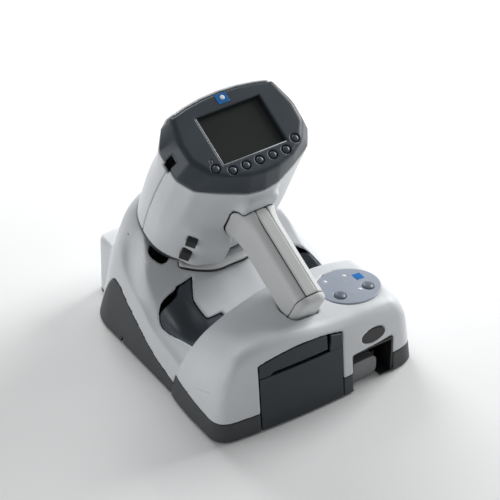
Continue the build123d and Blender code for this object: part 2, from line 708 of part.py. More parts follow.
def bezel():
    """Dark front of the head round the screen and the keys."""
    low = make_face(Polyline(*[(x, y, HEAD_FRONT + 0.05) for x, y in BACK_OUTLINE], close=True))
    high = make_face(Polyline(*[(x, y, 0) for x, y in FACE_OUTLINE], close=True))
    part = loft([low, high], ruled=True)
    hollow = prism_z([(x * 0.93, y * 0.93 + 0.3) for x, y in BACK_OUTLINE], -25, -12)
    hollow = hollow + prism_z([(x * 0.95, y * 0.94) for x, y in FACE_OUTLINE], -25, -PLATE)
    part = part - hollow
    part = part - block(-SCREEN_W / 2, SCREEN_W / 2, -SCREEN_H / 2, SCREEN_H / 2, -10, 5)
    for x, y in key_places():
        part = part - rod(4.75, 2.4, (x, y, 0.0)) - rod(KEY_R + 0.15, 12, (x, y, 0))
        part = part - rod(KEY_R + 1.0, 8, (x, y, -PLATE - 4))
    part = part - rod(1.55, 12, (-44.6, -18.8, 0)) - block(-6.35, 6.35, 32.0, 42.8, -0.4, 3)
    for side in (-1, 1):
        part = part - block(*sorted((side * 67, side * 80)), -2.5, 8.0, -30, -19.0)
    return HANDSET * largest(part)


def key_places():
    """Centres of the seven keys."""
    row = [(KEY_PITCH * i, KEY_ROW_V) for i in range(-2, 3)]
    return [(-KEY_SIDE[0], KEY_SIDE[1])] + row + [KEY_SIDE]


def key_cap(place):
    """One round key with its retaining flange."""
    x, y = place
    cap = rod(KEY_R, 5.1, (x, y, -1.95)) & Pos(x, y, -15.4) * Sphere(16.0)
    return HANDSET * (cap + rod(KEY_R + 0.7, 1.0, (x, y, -4.0)))


def status_lamp():
    """Light guide of the status lamp."""
    return HANDSET * rod(1.5, 5.5, (-44.6, -18.8, -3.0))


def display_glass():
    """Cover glass of the display."""
    return HANDSET * rounded_plate(SCREEN_W + 5, SCREEN_H + 1.6, 1, -4.7, -3.2)


def lcd_module():
    """Display module in its frame."""
    return HANDSET * rounded_plate(SCREEN_W + 6, SCREEN_H + 1.6, 1.5, -9.6, -4.8)


def main_board():
    """Main board behind the display."""
    board = block(-54, 54, -30, 32, -30, -28.4)
    for x, y, w, h in ((-30, 10, 14, 14), (20, 12, 18, 12), (0, -20, 30, 6), (38, -16, 10, 10)):
        board = board + block(x - w / 2, x + w / 2, y - h / 2, y + h / 2, -28.5, -26.4)
    return HANDSET * board


def nose_ring():
    """Dark ring at the patient's end of the head, closed by a plate round the window."""
    z0 = -HEAD_LENGTH
    width, height = 2 * HEAD_SECTIONS[-1][1], 2 * HEAD_SECTIONS[-1][2]
    r = height / 2
    at = (0, HEAD_CENTRE_V)
    outer = rounded_plate(width - 1, height - 1, r - 7, z0, z0 + RING_LENGTH - 0.1, at)
    inner = rounded_plate(width - 8, height - 8, r - 11, z0 - 1, z0 + 19, at)
    plate = rounded_plate(width - 7, height - 7, r - 11, z0 + 2, z0 + 5, at)
    return HANDSET * (outer - inner + plate - rod(WINDOW_R + 0.1, 20, (0, OPTIC_V, z0)))


def nose_window():
    """Round measuring window."""
    return HANDSET * rod(WINDOW_R, 2.0, (0, OPTIC_V, -HEAD_LENGTH + 3.2))


def forehead_rest():
    """Soft strip above the window that meets the patient's forehead."""
    return HANDSET * rounded_plate(70, 9, 4, -HEAD_LENGTH + 0.2, -HEAD_LENGTH + 2.0, (0, 30.5))


# ---------------------------------------------------------------- optics in the head
def optics_tube():
    """Measuring barrel on its foot."""
    at = (0, OPTIC_V, -114)
    foot = block(-24, 24, OPTIC_V - 30, OPTIC_V - 20.5, -140, -90)
    return HANDSET * (rod(BARREL_R, 62, at) + foot - rod(BARREL_R - 2.5, 80, at))


def objective_lens():
    """Front lens of the barrel, biconvex."""
    body = rod(BARREL_R - 2.6, 9, (0, OPTIC_V, -140))
    for w in (-98, -182):
        body = body & Pos(0, OPTIC_V, w) * Sphere(46)
    return HANDSET * body


def fog_target():
    """Fixation chart carrier that slides along the barrel's axis."""
    body = ring(18.9, 10.0, 6, (0, OPTIC_V, -100)) + rod(9.9, 1.2, (0, OPTIC_V, -100))
    return HANDSET * (body + ring(10.2, 9.0, 2, (0, OPTIC_V, -100)))


def prism_wheel():
    """Turning prism in its toothed holder."""
    wheel = gear(PRISM_TEETH, PRISM_MODULE, 5, (0, 0, 0), 12.0)
    return HANDSET * Pos(0, OPTIC_V, PRISM_W) * Rot(0, -90, 0) * wheel


def prism_pinion():
    """Pinion of the prism motor."""
    phase = mesh_phase(0.0, PRISM_TEETH, PRISM_PINION_TEETH, 0.0)
    pinion = gear(PRISM_PINION_TEETH, PRISM_MODULE, 4.6, (0, 0, 0), 0.9, phase)
    shaft = rod(1.0, 14, (PINION_U, OPTIC_V, -72))
    return HANDSET * (Pos(PINION_U, OPTIC_V, PRISM_W) * Rot(0, -90, 0) * pinion + shaft)


def prism_motor():
    """Small motor of the prism wheel."""
    return HANDSET * (rod(9, 20, (PINION_U, OPTIC_V, -58.5)) - rod(1.06, 40, (PINION_U, OPTIC_V, -60)))


# ---------------------------------------------------------------- grip
def grip_shell():
    """Hollow grip."""
    part = grip_solid(0) - grip_solid(SHELL)
    part = part - block(-34, 34, GRIP_TOP - SHELL - 1, GRIP_TOP + 5, -120, -20) - head_solid(-0.05)
    part = part - port_bulge(-0.05)
    part = part - block(-30, 30, GRIP_END - 5, GRIP_END + 8.1, -120, -20)
    part = part - block(-5.6, 5.6, GRIP_END, STRIP_END, GRIP_FRONT - 1.2, -20)
    part = part - block(-8.3, 8.3, -92.3, -66.7, -120, GRIP_BACK + 6)
    return HANDSET * largest(part)


def grip_strip():
    """Light strip along the front of the grip."""
    return HANDSET * block(-5.5, 5.5, GRIP_END + 8.2, STRIP_END - 0.1, GRIP_FRONT - 1.1, GRIP_FRONT + 0.8)


def grip_cap():
    """End cap of the grip."""
    face = grip_solid(0) & block(-30, 30, GRIP_END - 1, GRIP_END + 8.0, -120, -20)
    return HANDSET * face


def grip_battery():
    """Battery pack inside the grip."""
    return HANDSET * block(-13.4, 13.4, GRIP_END + 9, -98, -90, -56)


def trigger():
    """Measuring trigger on the patient's side of the grip."""
    pad = block(-8, 8, -92, -67, GRIP_BACK - 1.2, GRIP_BACK + 4.2)
    pad = fillet(pad.edges().group_by(Axis.Z)[0], 1.4)
    flange = block(-4.8, 4.8, -95.5, -63.5, GRIP_BACK + 2.7, GRIP_BACK + 4.2)
    stem = block(-3, 3, -82, -77, GRIP_BACK + 4.1, GRIP_BACK + 8)
    return HANDSET * (pad + flange + stem)


# ---------------------------------------------------------------- writing
def build_all():
    """Every node by name."""
    shell = cut_openings(station_shell())
    head = head_shell()
    nodes = {
        "base_tray": base_tray(shell),
        "top_shell": top_shell(shell),
        "rubber_feet": rubber_feet(),
        "base_screws": base_screws(),
        "finger_wells": [finger_well(-1), finger_well(1)],
        "rest_pad": rest_pad(),
        "cradle_port": cradle_port(),
        "dock_contacts": dock_contacts(),
        "control_panel": control_panel(),
        "panel_lamps": panel_lamps(),
        "power_button": panel_button("power_button"),
        "feed_button": panel_button("feed_button"),
        "ir_window": ir_window(),
        "printer_door": printer_door(),
        "door_hinge_pins": door_hinge_pins(),
        "door_catch": door_catch(),
        "printer_strip": printer_strip(),
        "printer_chassis": printer_chassis(),
        "thermal_head": thermal_head(),
        "platen_roller": platen_roller(),
        "platen_shaft": platen_shaft(),
        "idler_gear": idler_gear(),
        "motor_pinion": motor_pinion(),
        "feed_motor": feed_motor(),
        "paper_roll": paper_roll(),
        "paper_core": paper_core(),
        "battery_bay": battery_bay(),
        "spare_battery": spare_battery(),
        "station_board": station_board(),
        "power_supply": power_supply(),
        "power_inlet": power_inlet(),
        "head_top_shell": head_top(head),
        "head_bottom_shell": head_bottom(head),
        "bezel": bezel(),
        "display_glass": display_glass(),
        "lcd_module": lcd_module(),
        "status_lamp": status_lamp(),
        "main_board": main_board(),
        "nose_ring": nose_ring(),
        "nose_window": nose_window(),
        "forehead_rest": forehead_rest(),
        "port_sockets": [port_socket(0), port_socket(1)],
        "optics_tube": optics_tube(),
        "objective_lens": objective_lens(),
        "fog_target": fog_target(),
        "prism_wheel": prism_wheel(),
        "prism_pinion": prism_pinion(),
        "prism_motor": prism_motor(),
        "grip_shell": grip_shell(),
        "grip_strip": grip_strip(),
        "grip_cap": grip_cap(),
        "grip_battery": grip_battery(),
        "trigger": trigger(),
    }
    for number, place in enumerate(key_places(), start=1):
        nodes[f"key_{number}"] = key_cap(place)
    return nodes


if __name__ == "__main__":
    os.makedirs("parts", exist_ok=True)
    for name, shape in build_all().items():
        pieces = shape if isinstance(shape, list) else [shape]
        solids = [solid for piece in pieces for solid in piece.solids()]
        export_step(Compound(children=solids), f"parts/{name}.step")
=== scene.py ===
"""Looks of the hand-held autorefractor in its printer and charging station.

The moulded shells are distance fields in millimetres, meshed by a small surface-nets mesher.
Handset fields use the display frame: u right, v up the screen, w out of the screen.
"""
import math

import bpy
import numpy as np
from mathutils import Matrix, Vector


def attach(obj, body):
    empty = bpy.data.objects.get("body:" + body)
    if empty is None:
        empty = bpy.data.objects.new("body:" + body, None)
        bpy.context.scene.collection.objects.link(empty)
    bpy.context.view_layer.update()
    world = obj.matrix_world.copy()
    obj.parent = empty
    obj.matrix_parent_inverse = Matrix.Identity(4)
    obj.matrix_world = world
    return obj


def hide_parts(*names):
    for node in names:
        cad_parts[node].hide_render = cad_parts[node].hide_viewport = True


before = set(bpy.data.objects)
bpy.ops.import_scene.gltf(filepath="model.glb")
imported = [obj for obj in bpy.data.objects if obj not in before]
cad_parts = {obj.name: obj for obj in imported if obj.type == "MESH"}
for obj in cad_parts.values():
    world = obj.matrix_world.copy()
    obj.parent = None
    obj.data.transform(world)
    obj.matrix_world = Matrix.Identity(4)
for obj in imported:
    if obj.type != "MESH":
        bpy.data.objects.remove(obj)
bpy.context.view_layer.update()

MM = 0.001
COARSE = 1.0

# ---------------------------------------------------------------- places taken from the frame
TILT = math.radians(27.5)
COS_T, SIN_T = math.cos(TILT), math.sin(TILT)
SCREEN = np.array([0.0, 2.0, 241.8])
SCREEN_W, SCREEN_H = 72.0, 54.5
HEAD_CENTRE_V = -3.5
FRONT_Y, REAR_Y = -138.5, 138.3
SKIN = 2.6
SEAM_Z = 22.0
DOOR_X0, DOOR_X1 = -69.0, 25.0
DOOR_TOP = 61.0
BAY_X0, BAY_X1, BAY_TOP = 37.0, 86.0, 43.0
GRIP_HALF_W, GRIP_MID_W, GRIP_HALF_D = 16.0, -75.5, 24.5
GRIP_END, CAP_SEAM = -166.5, -158.5
PANEL = np.array([64.5, -86.0, 85.2])
PANEL_LEAN = math.radians(6.0)
FEET = ((-92, -112), (100, -100), (-92, 88), (92, 88))
SCREWS = ((-96, -60), (100, -52), (-92, 66), (92, 66), (0, -37))
HEAD_SKIN, GRIP_SKIN = 3.2, 2.4
HEAD_REAR_W = -160.0

# ---------------------------------------------------------------- stage values, in metres and watts
WORLD_STRENGTH = 0.27
LIGHTS = (("key", (1.45, 0.1, 0.85), 0.9, 24.0), ("left", (-1.6, 0.5, 0.35), 0.8, 6.0),
          ("back", (0.25, 1.5, 1.0), 1.0, 18.0))
LIGHT_AIM = (0, 0, 0.1)
CAMERA_AZIMUTH, CAMERA_ELEVATION = math.radians(-33.97), math.radians(37.85)
CAMERA_TARGET, CAMERA_DISTANCE = (0.0065, -0.0024, 0.100), 2.231
SENSOR_WIDTH, FOCAL_PIXELS, PHOTO_PIXELS = 36.0, 2300.0, 500.0


# ---------------------------------------------------------------- field helpers
def smax(a, b, k):
    """Larger of two fields with a rounded edge."""
    h = np.maximum(k - np.abs(a - b), 0.0) / k
    return np.maximum(a, b) + h * h * k * 0.25


def smin(a, b, k):
    """Smaller of two fields with a filleted joint."""
    return -smax(-a, -b, k)


def ease(t):
    """Smooth step from 0 to 1."""
    t = np.clip(t, 0.0, 1.0)
    return t * t * (3.0 - 2.0 * t)


def curve(points):
    """Smooth function through given points."""
    xs = np.array([p[0] for p in points], float)
    ys = np.array([p[1] for p in points], float)
    slope = np.gradient(ys, xs)
    fine = np.linspace(xs[0], xs[-1], 600)
    i = np.clip(np.searchsorted(xs, fine) - 1, 0, len(xs) - 2)
    h = xs[i + 1] - xs[i]
    t = (fine - xs[i]) / h
    value = ((1 + 2 * t) * (1 - t) ** 2 * ys[i] + t * (1 - t) ** 2 * h * slope[i]
             + t * t * (3 - 2 * t) * ys[i + 1] + t * t * (t - 1) * h * slope[i + 1])
    return lambda x: np.interp(x, fine, value)


def rounded_rect(x, y, half_x, half_y, r):
    """Distance to a rounded rectangle."""
    qx = np.abs(x) - half_x + r
    qy = np.abs(y) - half_y + r
    return np.hypot(np.maximum(qx, 0), np.maximum(qy, 0)) + np.minimum(np.maximum(qx, qy), 0) - r


def half_plane(x, y, ax, ay, bx, by):
    """Distance beyond the line a to b, positive on its right."""
    n = math.hypot(bx - ax, by - ay)
    return ((x - ax) * (by - ay) - (y - ay) * (bx - ax)) / n


def display(p):
    """World points in the display frame."""
    dy = p[:, 1] - SCREEN[1]
    dz = p[:, 2] - SCREEN[2]
    return p[:, 0], dy * COS_T + dz * SIN_T, dz * COS_T - dy * SIN_T


def from_display(p):
    """Display-frame points in the world."""
    y = SCREEN[1] + p[:, 1] * COS_T - p[:, 2] * SIN_T
    z = SCREEN[2] + p[:, 1] * SIN_T + p[:, 2] * COS_T
    return np.stack([p[:, 0], y, z], axis=1)


# ---------------------------------------------------------------- mesher
def evaluate(field, points):
    """Field values in chunks."""
    return np.concatenate([field(points[i:i + 200000]) for i in range(0, len(points), 200000)])


CORNERS = np.array([[i, j, k] for i in (0, 1) for j in (0, 1) for k in (0, 1)])
EDGES = [(a, b) for a in range(8) for b in range(a + 1, 8) if abs(CORNERS[a] - CORNERS[b]).sum() == 1]


def near_blocks(field, low, count, step):
    """Field values on the fine grid, worked out only in blocks of cells near the surface."""
    size = 4
    blocks = [int(math.ceil(c / size)) for c in count]
    axes = [low[i] + (np.arange(blocks[i]) + 0.5) * size * step for i in range(3)]
    centres = np.stack(np.meshgrid(*axes, indexing="ij"), axis=-1).reshape(-1, 3)
    coarse = evaluate(field, centres).reshape(blocks)
    active = np.abs(coarse) < size * step * 1.35
    grow = np.zeros([b * size + 1 for b in blocks], bool)
    up = active.repeat(size, 0).repeat(size, 1).repeat(size, 2)
    for i, j, k in CORNERS:
        n0, n1, n2 = up.shape
        grow[i:i + n0, j:j + n1, k:k + n2] |= up
    sign = coarse.repeat(size, 0).repeat(size, 1).repeat(size, 2)
    values = np.pad(sign, ((0, 1), (0, 1), (0, 1)), mode="edge").astype(np.float64)
    index = np.argwhere(grow)
    values[grow] = evaluate(field, low + index * step)
    return values


def mesh_of(field, low, high, step):
    """Vertices and quads of a field's zero surface."""
    step = step * COARSE
    low = np.array(low, float)
    count = np.ceil((np.array(high, float) - low) / step).astype(int)
    values = near_blocks(field, low, count, step)
    inside = values < 0
    n0, n1, n2 = (n - 1 for n in inside.shape)
    number = sum(inside[i:n0 + i, j:n1 + j, k:n2 + k].astype(np.int8) for i, j, k in CORNERS)
    cells = np.argwhere((number > 0) & (number < 8))
    ident = np.full(number.shape, -1, np.int64)
    ident[tuple(cells.T)] = np.arange(len(cells))
    corner = np.stack([values[tuple((cells + c).T)] for c in CORNERS], axis=1)
    total = np.zeros((len(cells), 3))
    hits = np.zeros(len(cells))
    for a, b in EDGES:
        cross = (corner[:, a] < 0) != (corner[:, b] < 0)
        t = np.where(cross, corner[:, a] / np.where(cross, corner[:, a] - corner[:, b], 1), 0)
        point = CORNERS[a] + t[:, None] * (CORNERS[b] - CORNERS[a])
        total += point * cross[:, None]
        hits += cross
    points = low + step * (cells + total / hits[:, None])
    points = settle(field, points, step)
    return points, quads_of(inside, ident)


def settle(field, points, step):
    """Moves vertices on to the zero surface along its gradient."""
    for _ in range(2):
        value = evaluate(field, points)
        gradient = np.zeros_like(points)
        for axis in range(3):
            shift = np.zeros(3)
            shift[axis] = 0.35 * step
            rise = evaluate(field, points + shift) - evaluate(field, points - shift)
            gradient[:, axis] = rise / (0.7 * step)
        size = np.maximum((gradient ** 2).sum(axis=1), 0.05)
        move = -gradient * (value / size)[:, None]
        length = np.linalg.norm(move, axis=1)
        move *= np.minimum(1, 0.45 * step / np.maximum(length, 1e-9))[:, None]
        points = points + move
    return points


def quads_of(inside, ident):
    """Quads across every grid edge that changes sign."""
    quads = []
    for axis in range(3):
        b, c = (axis + 1) % 3, (axis + 2) % 3
        a0 = inside.take(range(inside.shape[axis] - 1), axis)
        a1 = inside.take(range(1, inside.shape[axis]), axis)
        found = np.argwhere(a0 != a1)
        keep = ((found[:, b] > 0) & (found[:, c] > 0)
                & (found[:, b] < inside.shape[b] - 1) & (found[:, c] < inside.shape[c] - 1))
        found = found[keep]
        ring = []
        for db, dc in ((-1, -1), (0, -1), (0, 0), (-1, 0)):
            at = found.copy()
            at[:, b] += db
            at[:, c] += dc
            ring.append(ident[tuple(at.T)])
        quad = np.stack(ring, axis=1)
        outward = a0[tuple(found.T)]
        quads.append(np.where(outward[:, None], quad, quad[:, ::-1]))
    return np.concatenate(quads)


# ---------------------------------------------------------------- pieces
def piece(name, points, faces, body, material, replaces=(), smooth=True):
    """A mesh piece from millimetre points."""
    mesh = bpy.data.meshes.new(name)
    if isinstance(faces, np.ndarray):
        mesh.vertices.add(len(points))
        mesh.vertices.foreach_set("co", (np.asarray(points) * MM).astype(np.float32).ravel())
        mesh.loops.add(faces.size)
        mesh.loops.foreach_set("vertex_index", faces.astype(np.int32).ravel())
        mesh.polygons.add(len(faces))
        mesh.polygons.foreach_set("loop_start", np.arange(0, faces.size, faces.shape[1], dtype=np.int32))
        mesh.update(calc_edges=True)
    else:
        mesh.from_pydata([tuple(float(c) * MM for c in p) for p in points], [], faces)
    mesh.validate()
    mesh.polygons.foreach_set("use_smooth", [smooth] * len(mesh.polygons))
    obj = bpy.data.objects.new(name, mesh)
    bpy.context.scene.collection.objects.link(obj)
    mesh.materials.append(material)
    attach(obj, body)
    if replaces:
        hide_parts(*replaces)
    return obj


def bevelled(obj, width, segments=3, angle=35):
    """Rounds a piece's edges."""
    bevel = obj.modifiers.new("edges", "BEVEL")
    bevel.width = width * MM
    bevel.segments = segments
    bevel.limit_method = "ANGLE"
    bevel.angle_limit = math.radians(angle)
    bevel.harden_normals = True
    return obj


def prism(outline, lower, upper):
    """Closed prism between two matching rings of points."""
    n = len(outline)
    points = [(*p, lower) for p in outline] + [(*p, upper) for p in outline]
    faces = [tuple(range(n))[::-1], tuple(range(n, 2 * n))]
    faces += [(i, (i + 1) % n, n + (i + 1) % n, n + i) for i in range(n)]
    return np.array(points, float), faces


def turned(profile, segments=48):
    """Solid of revolution about the local w axis, from (radius, height) points that end on the axis."""
    points, faces, rings = [], [], []
    for r, h in profile:
        if r < 1e-6:
            rings.append([len(points)])
            points.append((0, 0, h))
        else:
            rings.append(list(range(len(points), len(points) + segments)))
            points += [(r * math.cos(2 * math.pi * i / segments), r * math.sin(2 * math.pi * i / segments), h)
                       for i in range(segments)]
    for a, b in zip(rings, rings[1:]):
        for i in range(segments):
            j = (i + 1) % segments
            quad = [a[i % len(a)], a[j % len(a)], b[j % len(b)], b[i % len(b)]]
            quad = list(dict.fromkeys(quad))
            if len(quad) > 2:
                faces.append(tuple(quad))
    return np.array(points, float), faces


def front_y(x, z):
    """The station's bowed front face."""
    return FRONT_Y + 7.0 * (x / 105.0) ** 2 + 0.09 * z


# ---------------------------------------------------------------- station form
BLOCK_FRONT = curve([(-122, 40), (-116, 56), (-108, 74), (-100, 85), (-92, 93), (-81, 98.5), (-61, 102),
                     (-37, 100.5), (-12, 95), (14, 88.5), (41, 84.5), (62, 82.5), (83, 79.5), (97, 76),
                     (106, 70), (116, 56)])
BLOCK_REAR = curve([(-122, 0), (-116, 6), (-108, 22), (-100, 36), (-92, 47), (-81, 58), (-60, 70), (-31, 80),
                    (-6, 86), (14, 87.5), (41, 86.5), (62, 84.5), (83, 80.5), (97, 76), (106, 69), (116, 54)])
RIM_X = curve([(-60, 103), (-40, 102.5), (8, 102), (34, 100), (62, 95.5), (79, 90.5), (95, 84), (110, 72),
               (140, 60)])
RIM_Z = curve([(-60, 31), (-42, 34.5), (-15, 38.5), (8, 43), (34, 54), (62, 65.5), (79, 75), (92, 92),
               (104, 115), (112, 125), (125, 128)])
WALL_Z = curve([(0, 128.3), (30, 127.5), (46, 124.5), (55, 120), (66, 111), (78, 93), (88, 78), (95, 66),
                (101, 48), (108, 24), (114, 0)])
CREASE_Y = curve([(0, 26), (18, 26.5), (34, 33), (50, 43), (70, 49), (95, 52), (120, 52)])


def block_top(x, y):
    """Height of the front block's top."""
    s = np.clip((y + 128.0) / 85.0, 0, 1)
    crown = 10.0 * s * (1 - s) * ease((x + 110) / 60.0)
    return BLOCK_FRONT(x) * (1 - s) + BLOCK_REAR(x) * s + crown


def cradle_floor(x, y):
    """Height of the ground between the rims: up from the block to the crease, then the cradle's ramp."""
    crease = CREASE_Y(np.abs(x))
    ramp = 75.0 + 0.52 * (y - 27.0)
    top = 75.0 + 0.52 * (crease - 27.0)
    t = np.clip((y + 42.0) / (crease + 42.0), 0, 1)
    rise = 46.0 + (top - 46.0) * t ** 3.4
    return np.where(y > crease, ramp, rise)


def mid_top(x, y):
    """Height of the body behind the block: rims, ramp and the arched wall behind the nose."""
    ax = np.abs(x)
    crest = RIM_Z(y)
    width = 13.0 + 12.0 * ease((y - 40) / 40.0)
    s = ease((RIM_X(y) - 3.0 - ax) / width)
    inner = crest + (cradle_floor(x, y) - crest) * s
    wall = ease((y - 84.0) / 22.0)
    return inner * (1 - wall) + np.minimum(WALL_Z(ax), 128.3) * wall


def steepness(height, x, y):
    """How much a height field overstates distance."""
    dx = (height(x + 0.5, y) - height(x - 0.5, y))
    dy = (height(x, y + 0.5) - height(x, y - 0.5))
    return 1.0 / np.sqrt(1.0 + dx * dx + dy * dy)


def station_outer(p):
    """Outer form of the station."""
    x, y, z = p[:, 0], p[:, 1], p[:, 2]
    ax = np.abs(x)
    front = front_y(x, z) - y
    side = (ax - (116.0 - 0.0875 * z)) * 0.996
    wall = smax(side, front, 17)
    top = (z - block_top(x, y)) * steepness(block_top, x, y)
    block = smax(smax(wall, y + 42.0, 2.5), top, 5)
    block = smax(block, (wall + top) * 0.7071 + 4.6, 5)
    lean = (ax - (111.3 - 0.235 * z)) * 0.973
    rear = (y - 118.0 + 0.03 * z)
    mid = smax(smax(lean, rear, 40), -45.0 - y, 1)
    mid = smax(mid, (z - mid_top(x, y)) * steepness(mid_top, x, y), 5)
    mid = smax(mid, (z - WALL_Z(ax)) * 0.75, 8)
    plan = rounded_rect(x, y - (REAR_Y + 60) / 2, 86.0, (REAR_Y - 60) / 2, 11)
    box = smax(plan + 0.02 * z, z - 70.0, 6)
    body = smin(smin(block, mid, 1.5), box, 4)
    return smax(body, 1.0 - z, 2.0)


def grip_room(p, gap):
    """Space that the grip sweeps when the handset is lifted off."""
    u, v, w = display(p)
    form = rounded_rect(u, np.minimum(w - GRIP_MID_W, 0.0), GRIP_HALF_W + gap, GRIP_HALF_D + gap, 12 + gap)
    return smax(form, GRIP_END - gap - v, 8)


def nose_room(p, gap):
    """Space that the nose sweeps when the handset is lifted off."""
    u, v, w = display(p)
    ellipse = np.hypot(u / (71.0 + gap), (v - HEAD_CENTRE_V) / (48.0 + gap))
    return smax((ellipse - 1.0) * (49.0 + gap), -157.0 - gap - w, 5)


def convex(x, y, edge, k):
    """Distance to a convex outline given clockwise, with softened corners."""
    inside = None
    for (x0, y0), (x1, y1) in zip(edge, edge[1:] + edge[:1]):
        d = -half_plane(x, y, x0, y0, x1, y1)
        inside = d if inside is None else smax(inside, d, k)
    return inside


WELL_MAIN = [(49, -60), (50.5, 28.3), (62, 28), (78, 24.8), (87, 18), (92.3, 9), (93.4, -4), (90.5, -17),
             (78, -60)]
WELL_CORNER = [(53, 9), (41, 29), (60, 29), (60, 9)]
WELL_REAR = [(33, -60), (33, -11.5), (60, -11.5), (60, -60)]


def well_plan(x, y, gap):
    """Distance to the outline of the two finger wells."""
    ax = np.abs(x)
    plan = smin(convex(ax, y, WELL_MAIN, 5), convex(ax, y, WELL_CORNER, 2), 2)
    return smin(plan, convex(ax, y, WELL_REAR, 2), 2) - gap


def door_arc(x):
    """Top edge of the printer's front, an arc."""
    return 83.2 - 0.0031 * (x + 22.0) ** 2


def door_room(p, gap):
    """Opening for the printer door and strip."""
    x, y, z = p[:, 0], p[:, 1], p[:, 2]
    wide = np.maximum(DOOR_X0 - gap - x, x - DOOR_X1 - gap)
    return np.maximum(np.maximum(wide, z - door_arc(x) - gap), y + 118.0)


def bay_room(p, gap):
    """Opening for the battery bay, with slanting top corners."""
    x, y, z = p[:, 0], p[:, 1], p[:, 2]
    wide = np.maximum(BAY_X0 - gap - x, x - BAY_X1 - gap)
    return smax(np.maximum(wide, y + 60.0 - gap), z - BAY_TOP - gap, 3)


def panel_frame(p):
    """World points in the leaning frame of the control panel."""
    d = p - PANEL
    c, s = math.cos(PANEL_LEAN), math.sin(PANEL_LEAN)
    return d[:, 0] * c - d[:, 2] * s, d[:, 1], d[:, 0] * s + d[:, 2] * c


SIDE_SEAM = curve([(-60, 9), (-41, 12.3), (-26, 15), (3, 22), (36, 35.5), (57, 44.5), (76, 53.5), (84, 53.5),
                   (90, 46), (96, 33), (104, 8), (112, 6), (140, 6)])


def seam_height(y):
    """The seam between the light shell and the dark tray."""
    return np.where(y < -41.8, SEAM_Z, SIDE_SEAM(y))


def station_skin(p, outer):
    """The hollow skin with every opening."""
    x, y, z = p[:, 0], p[:, 1], p[:, 2]
    skin = np.maximum(outer, -(outer + SKIN))
    for room in (grip_room(p, 1.7), nose_room(p, 3.0)):
        wall = np.maximum(np.maximum(room - SKIN, -room), outer)
        skin = np.maximum(np.minimum(skin, wall), -room)
    skin = smax(skin, -door_room(p, 0.5), 1.2)
    skin = smax(skin, -bay_room(p, 0.3), 2.0)
    well = np.maximum(well_plan(x, y, 0.0), np.maximum(-40.8 - y, 22.0 - z))
    skin = smax(skin, -well, 2.5)
    a, b, c = panel_frame(p)
    oval = (np.hypot(a / 34.4, b / 28.2) - 1.0) * 30.0
    skin = smax(skin, -np.maximum(oval, -1.2 - c), 1.0)
    window = (np.hypot((x - 62.0) / 13.8, (z - 56.0) / 7.8) - 1.0) * 9.0
    skin = smax(skin, -np.maximum(window, y + 118.0), 1.0)
    port = np.hypot(x + 61.0, (y - 56.0) * 1.06) - 10.9
    skin = smax(skin, -np.maximum(port, 70.0 - z), 0.8)
    return skin


def top_shell_field(p):
    """Light upper shell."""
    y, z = p[:, 1], p[:, 2]
    skin = station_skin(p, station_outer(p))
    inlet = np.maximum(rounded_rect(p[:, 0], z - 34.0, 30.2, 11.9, 1.5), 128.0 - y)
    skin = smax(skin, -inlet, 0.8)
    return smax(skin, (seam_height(y) + 0.35 - z) * 0.85, 1.0)


def tray_field(p):
    """Dark lower tray with its floor."""
    x, y, z = p[:, 0], p[:, 1], p[:, 2]
    outer = station_outer(p)
    skin = station_skin(p, outer)
    floor = np.maximum(np.maximum(outer, z - 3.6), -door_room(p, 0.5))
    floor = np.maximum(floor, -bay_room(p, 0.3))
    skin = np.minimum(skin, floor)
    skin = np.maximum(skin, (z - seam_height(y) + 0.35) * 0.85)
    for fx, fy in FEET:
        skin = np.maximum(skin, -np.maximum(np.hypot(x - fx, y - fy) - 7.2, z - 2.4))
    for sx, sy in SCREWS:
        skin = np.maximum(skin, -np.maximum(np.hypot(x - sx, y - sy) - 4.0, z - 3.0))
    tick = np.maximum(np.hypot(y - 50.5, (z - 1.0) * 0.3) - 2.0, 104.0 - np.abs(x))
    return np.maximum(skin, -tick)


def well_field(p):
    """Dark scoops beside the spine."""
    x, y, z = p[:, 0], p[:, 1], p[:, 2]
    body = np.maximum(well_plan(x, y, -0.4), np.maximum(-40.4 - y, 24.0 - z))
    ax = np.abs(x)
    top = mid_top(x, y) - 1.6
    body = smax(body, (z - top) * 0.8, 1.2)
    bowl = 32.0 + 20.0 * ((ax - 71.0) / 22.0) ** 2 + 22.0 * ((y + 9.0) / 37.0) ** 2
    body = smax(body, (z - bowl) * 0.6, 2.0)
    rib = np.maximum(np.abs(y + 14.0) - 0.6, z - bowl - 1.2)
    return np.minimum(body, np.maximum(np.maximum(rib, body - 3.0), np.abs(ax - 84.0) - 4.0))


# ---------------------------------------------------------------- handset form
FACE_OUTLINE = ((57, 37), (40, 41.5), (20, 44.6), (0, 45.6), (-20, 44.6), (-40, 41.5), (-57, 37),
                (-63.5, 8), (-62.5, -12), (-50, -31), (-36, -40), (-16, -45.6), (0, -47),
                (16, -45.6), (36, -40), (50, -31), (62.5, -12), (63.5, 8))
BACK_OUTLINE = ((60, 41), (42, 45.2), (20, 48.4), (0, 49.4), (-20, 48.4), (-42, 45.2), (-60, 41),
                (-74.5, 20), (-74.5, -14), (-64, -31), (-42, -42.5), (-17, -53.5), (0, -56),
                (17, -53.5), (42, -42.5), (64, -31), (74.5, -14), (74.5, 20))
HEAD_SECTIONS = ((-45.0, 76.0, 49.5), (-75.0, 76.5, 50.0), (-112.0, 74.5, 49.0), (-147.0, 70.5, 47.5),
                 (-160.0, 68.5, 46.0))
HEAD_POWER = 2.5
ANGLES = np.radians(np.arange(0, 361))


def polar(u, v):
    """Direction and radius about the head's centre line."""
    return np.mod(np.arctan2(v - HEAD_CENTRE_V, u), 2 * math.pi), np.hypot(u, v - HEAD_CENTRE_V)


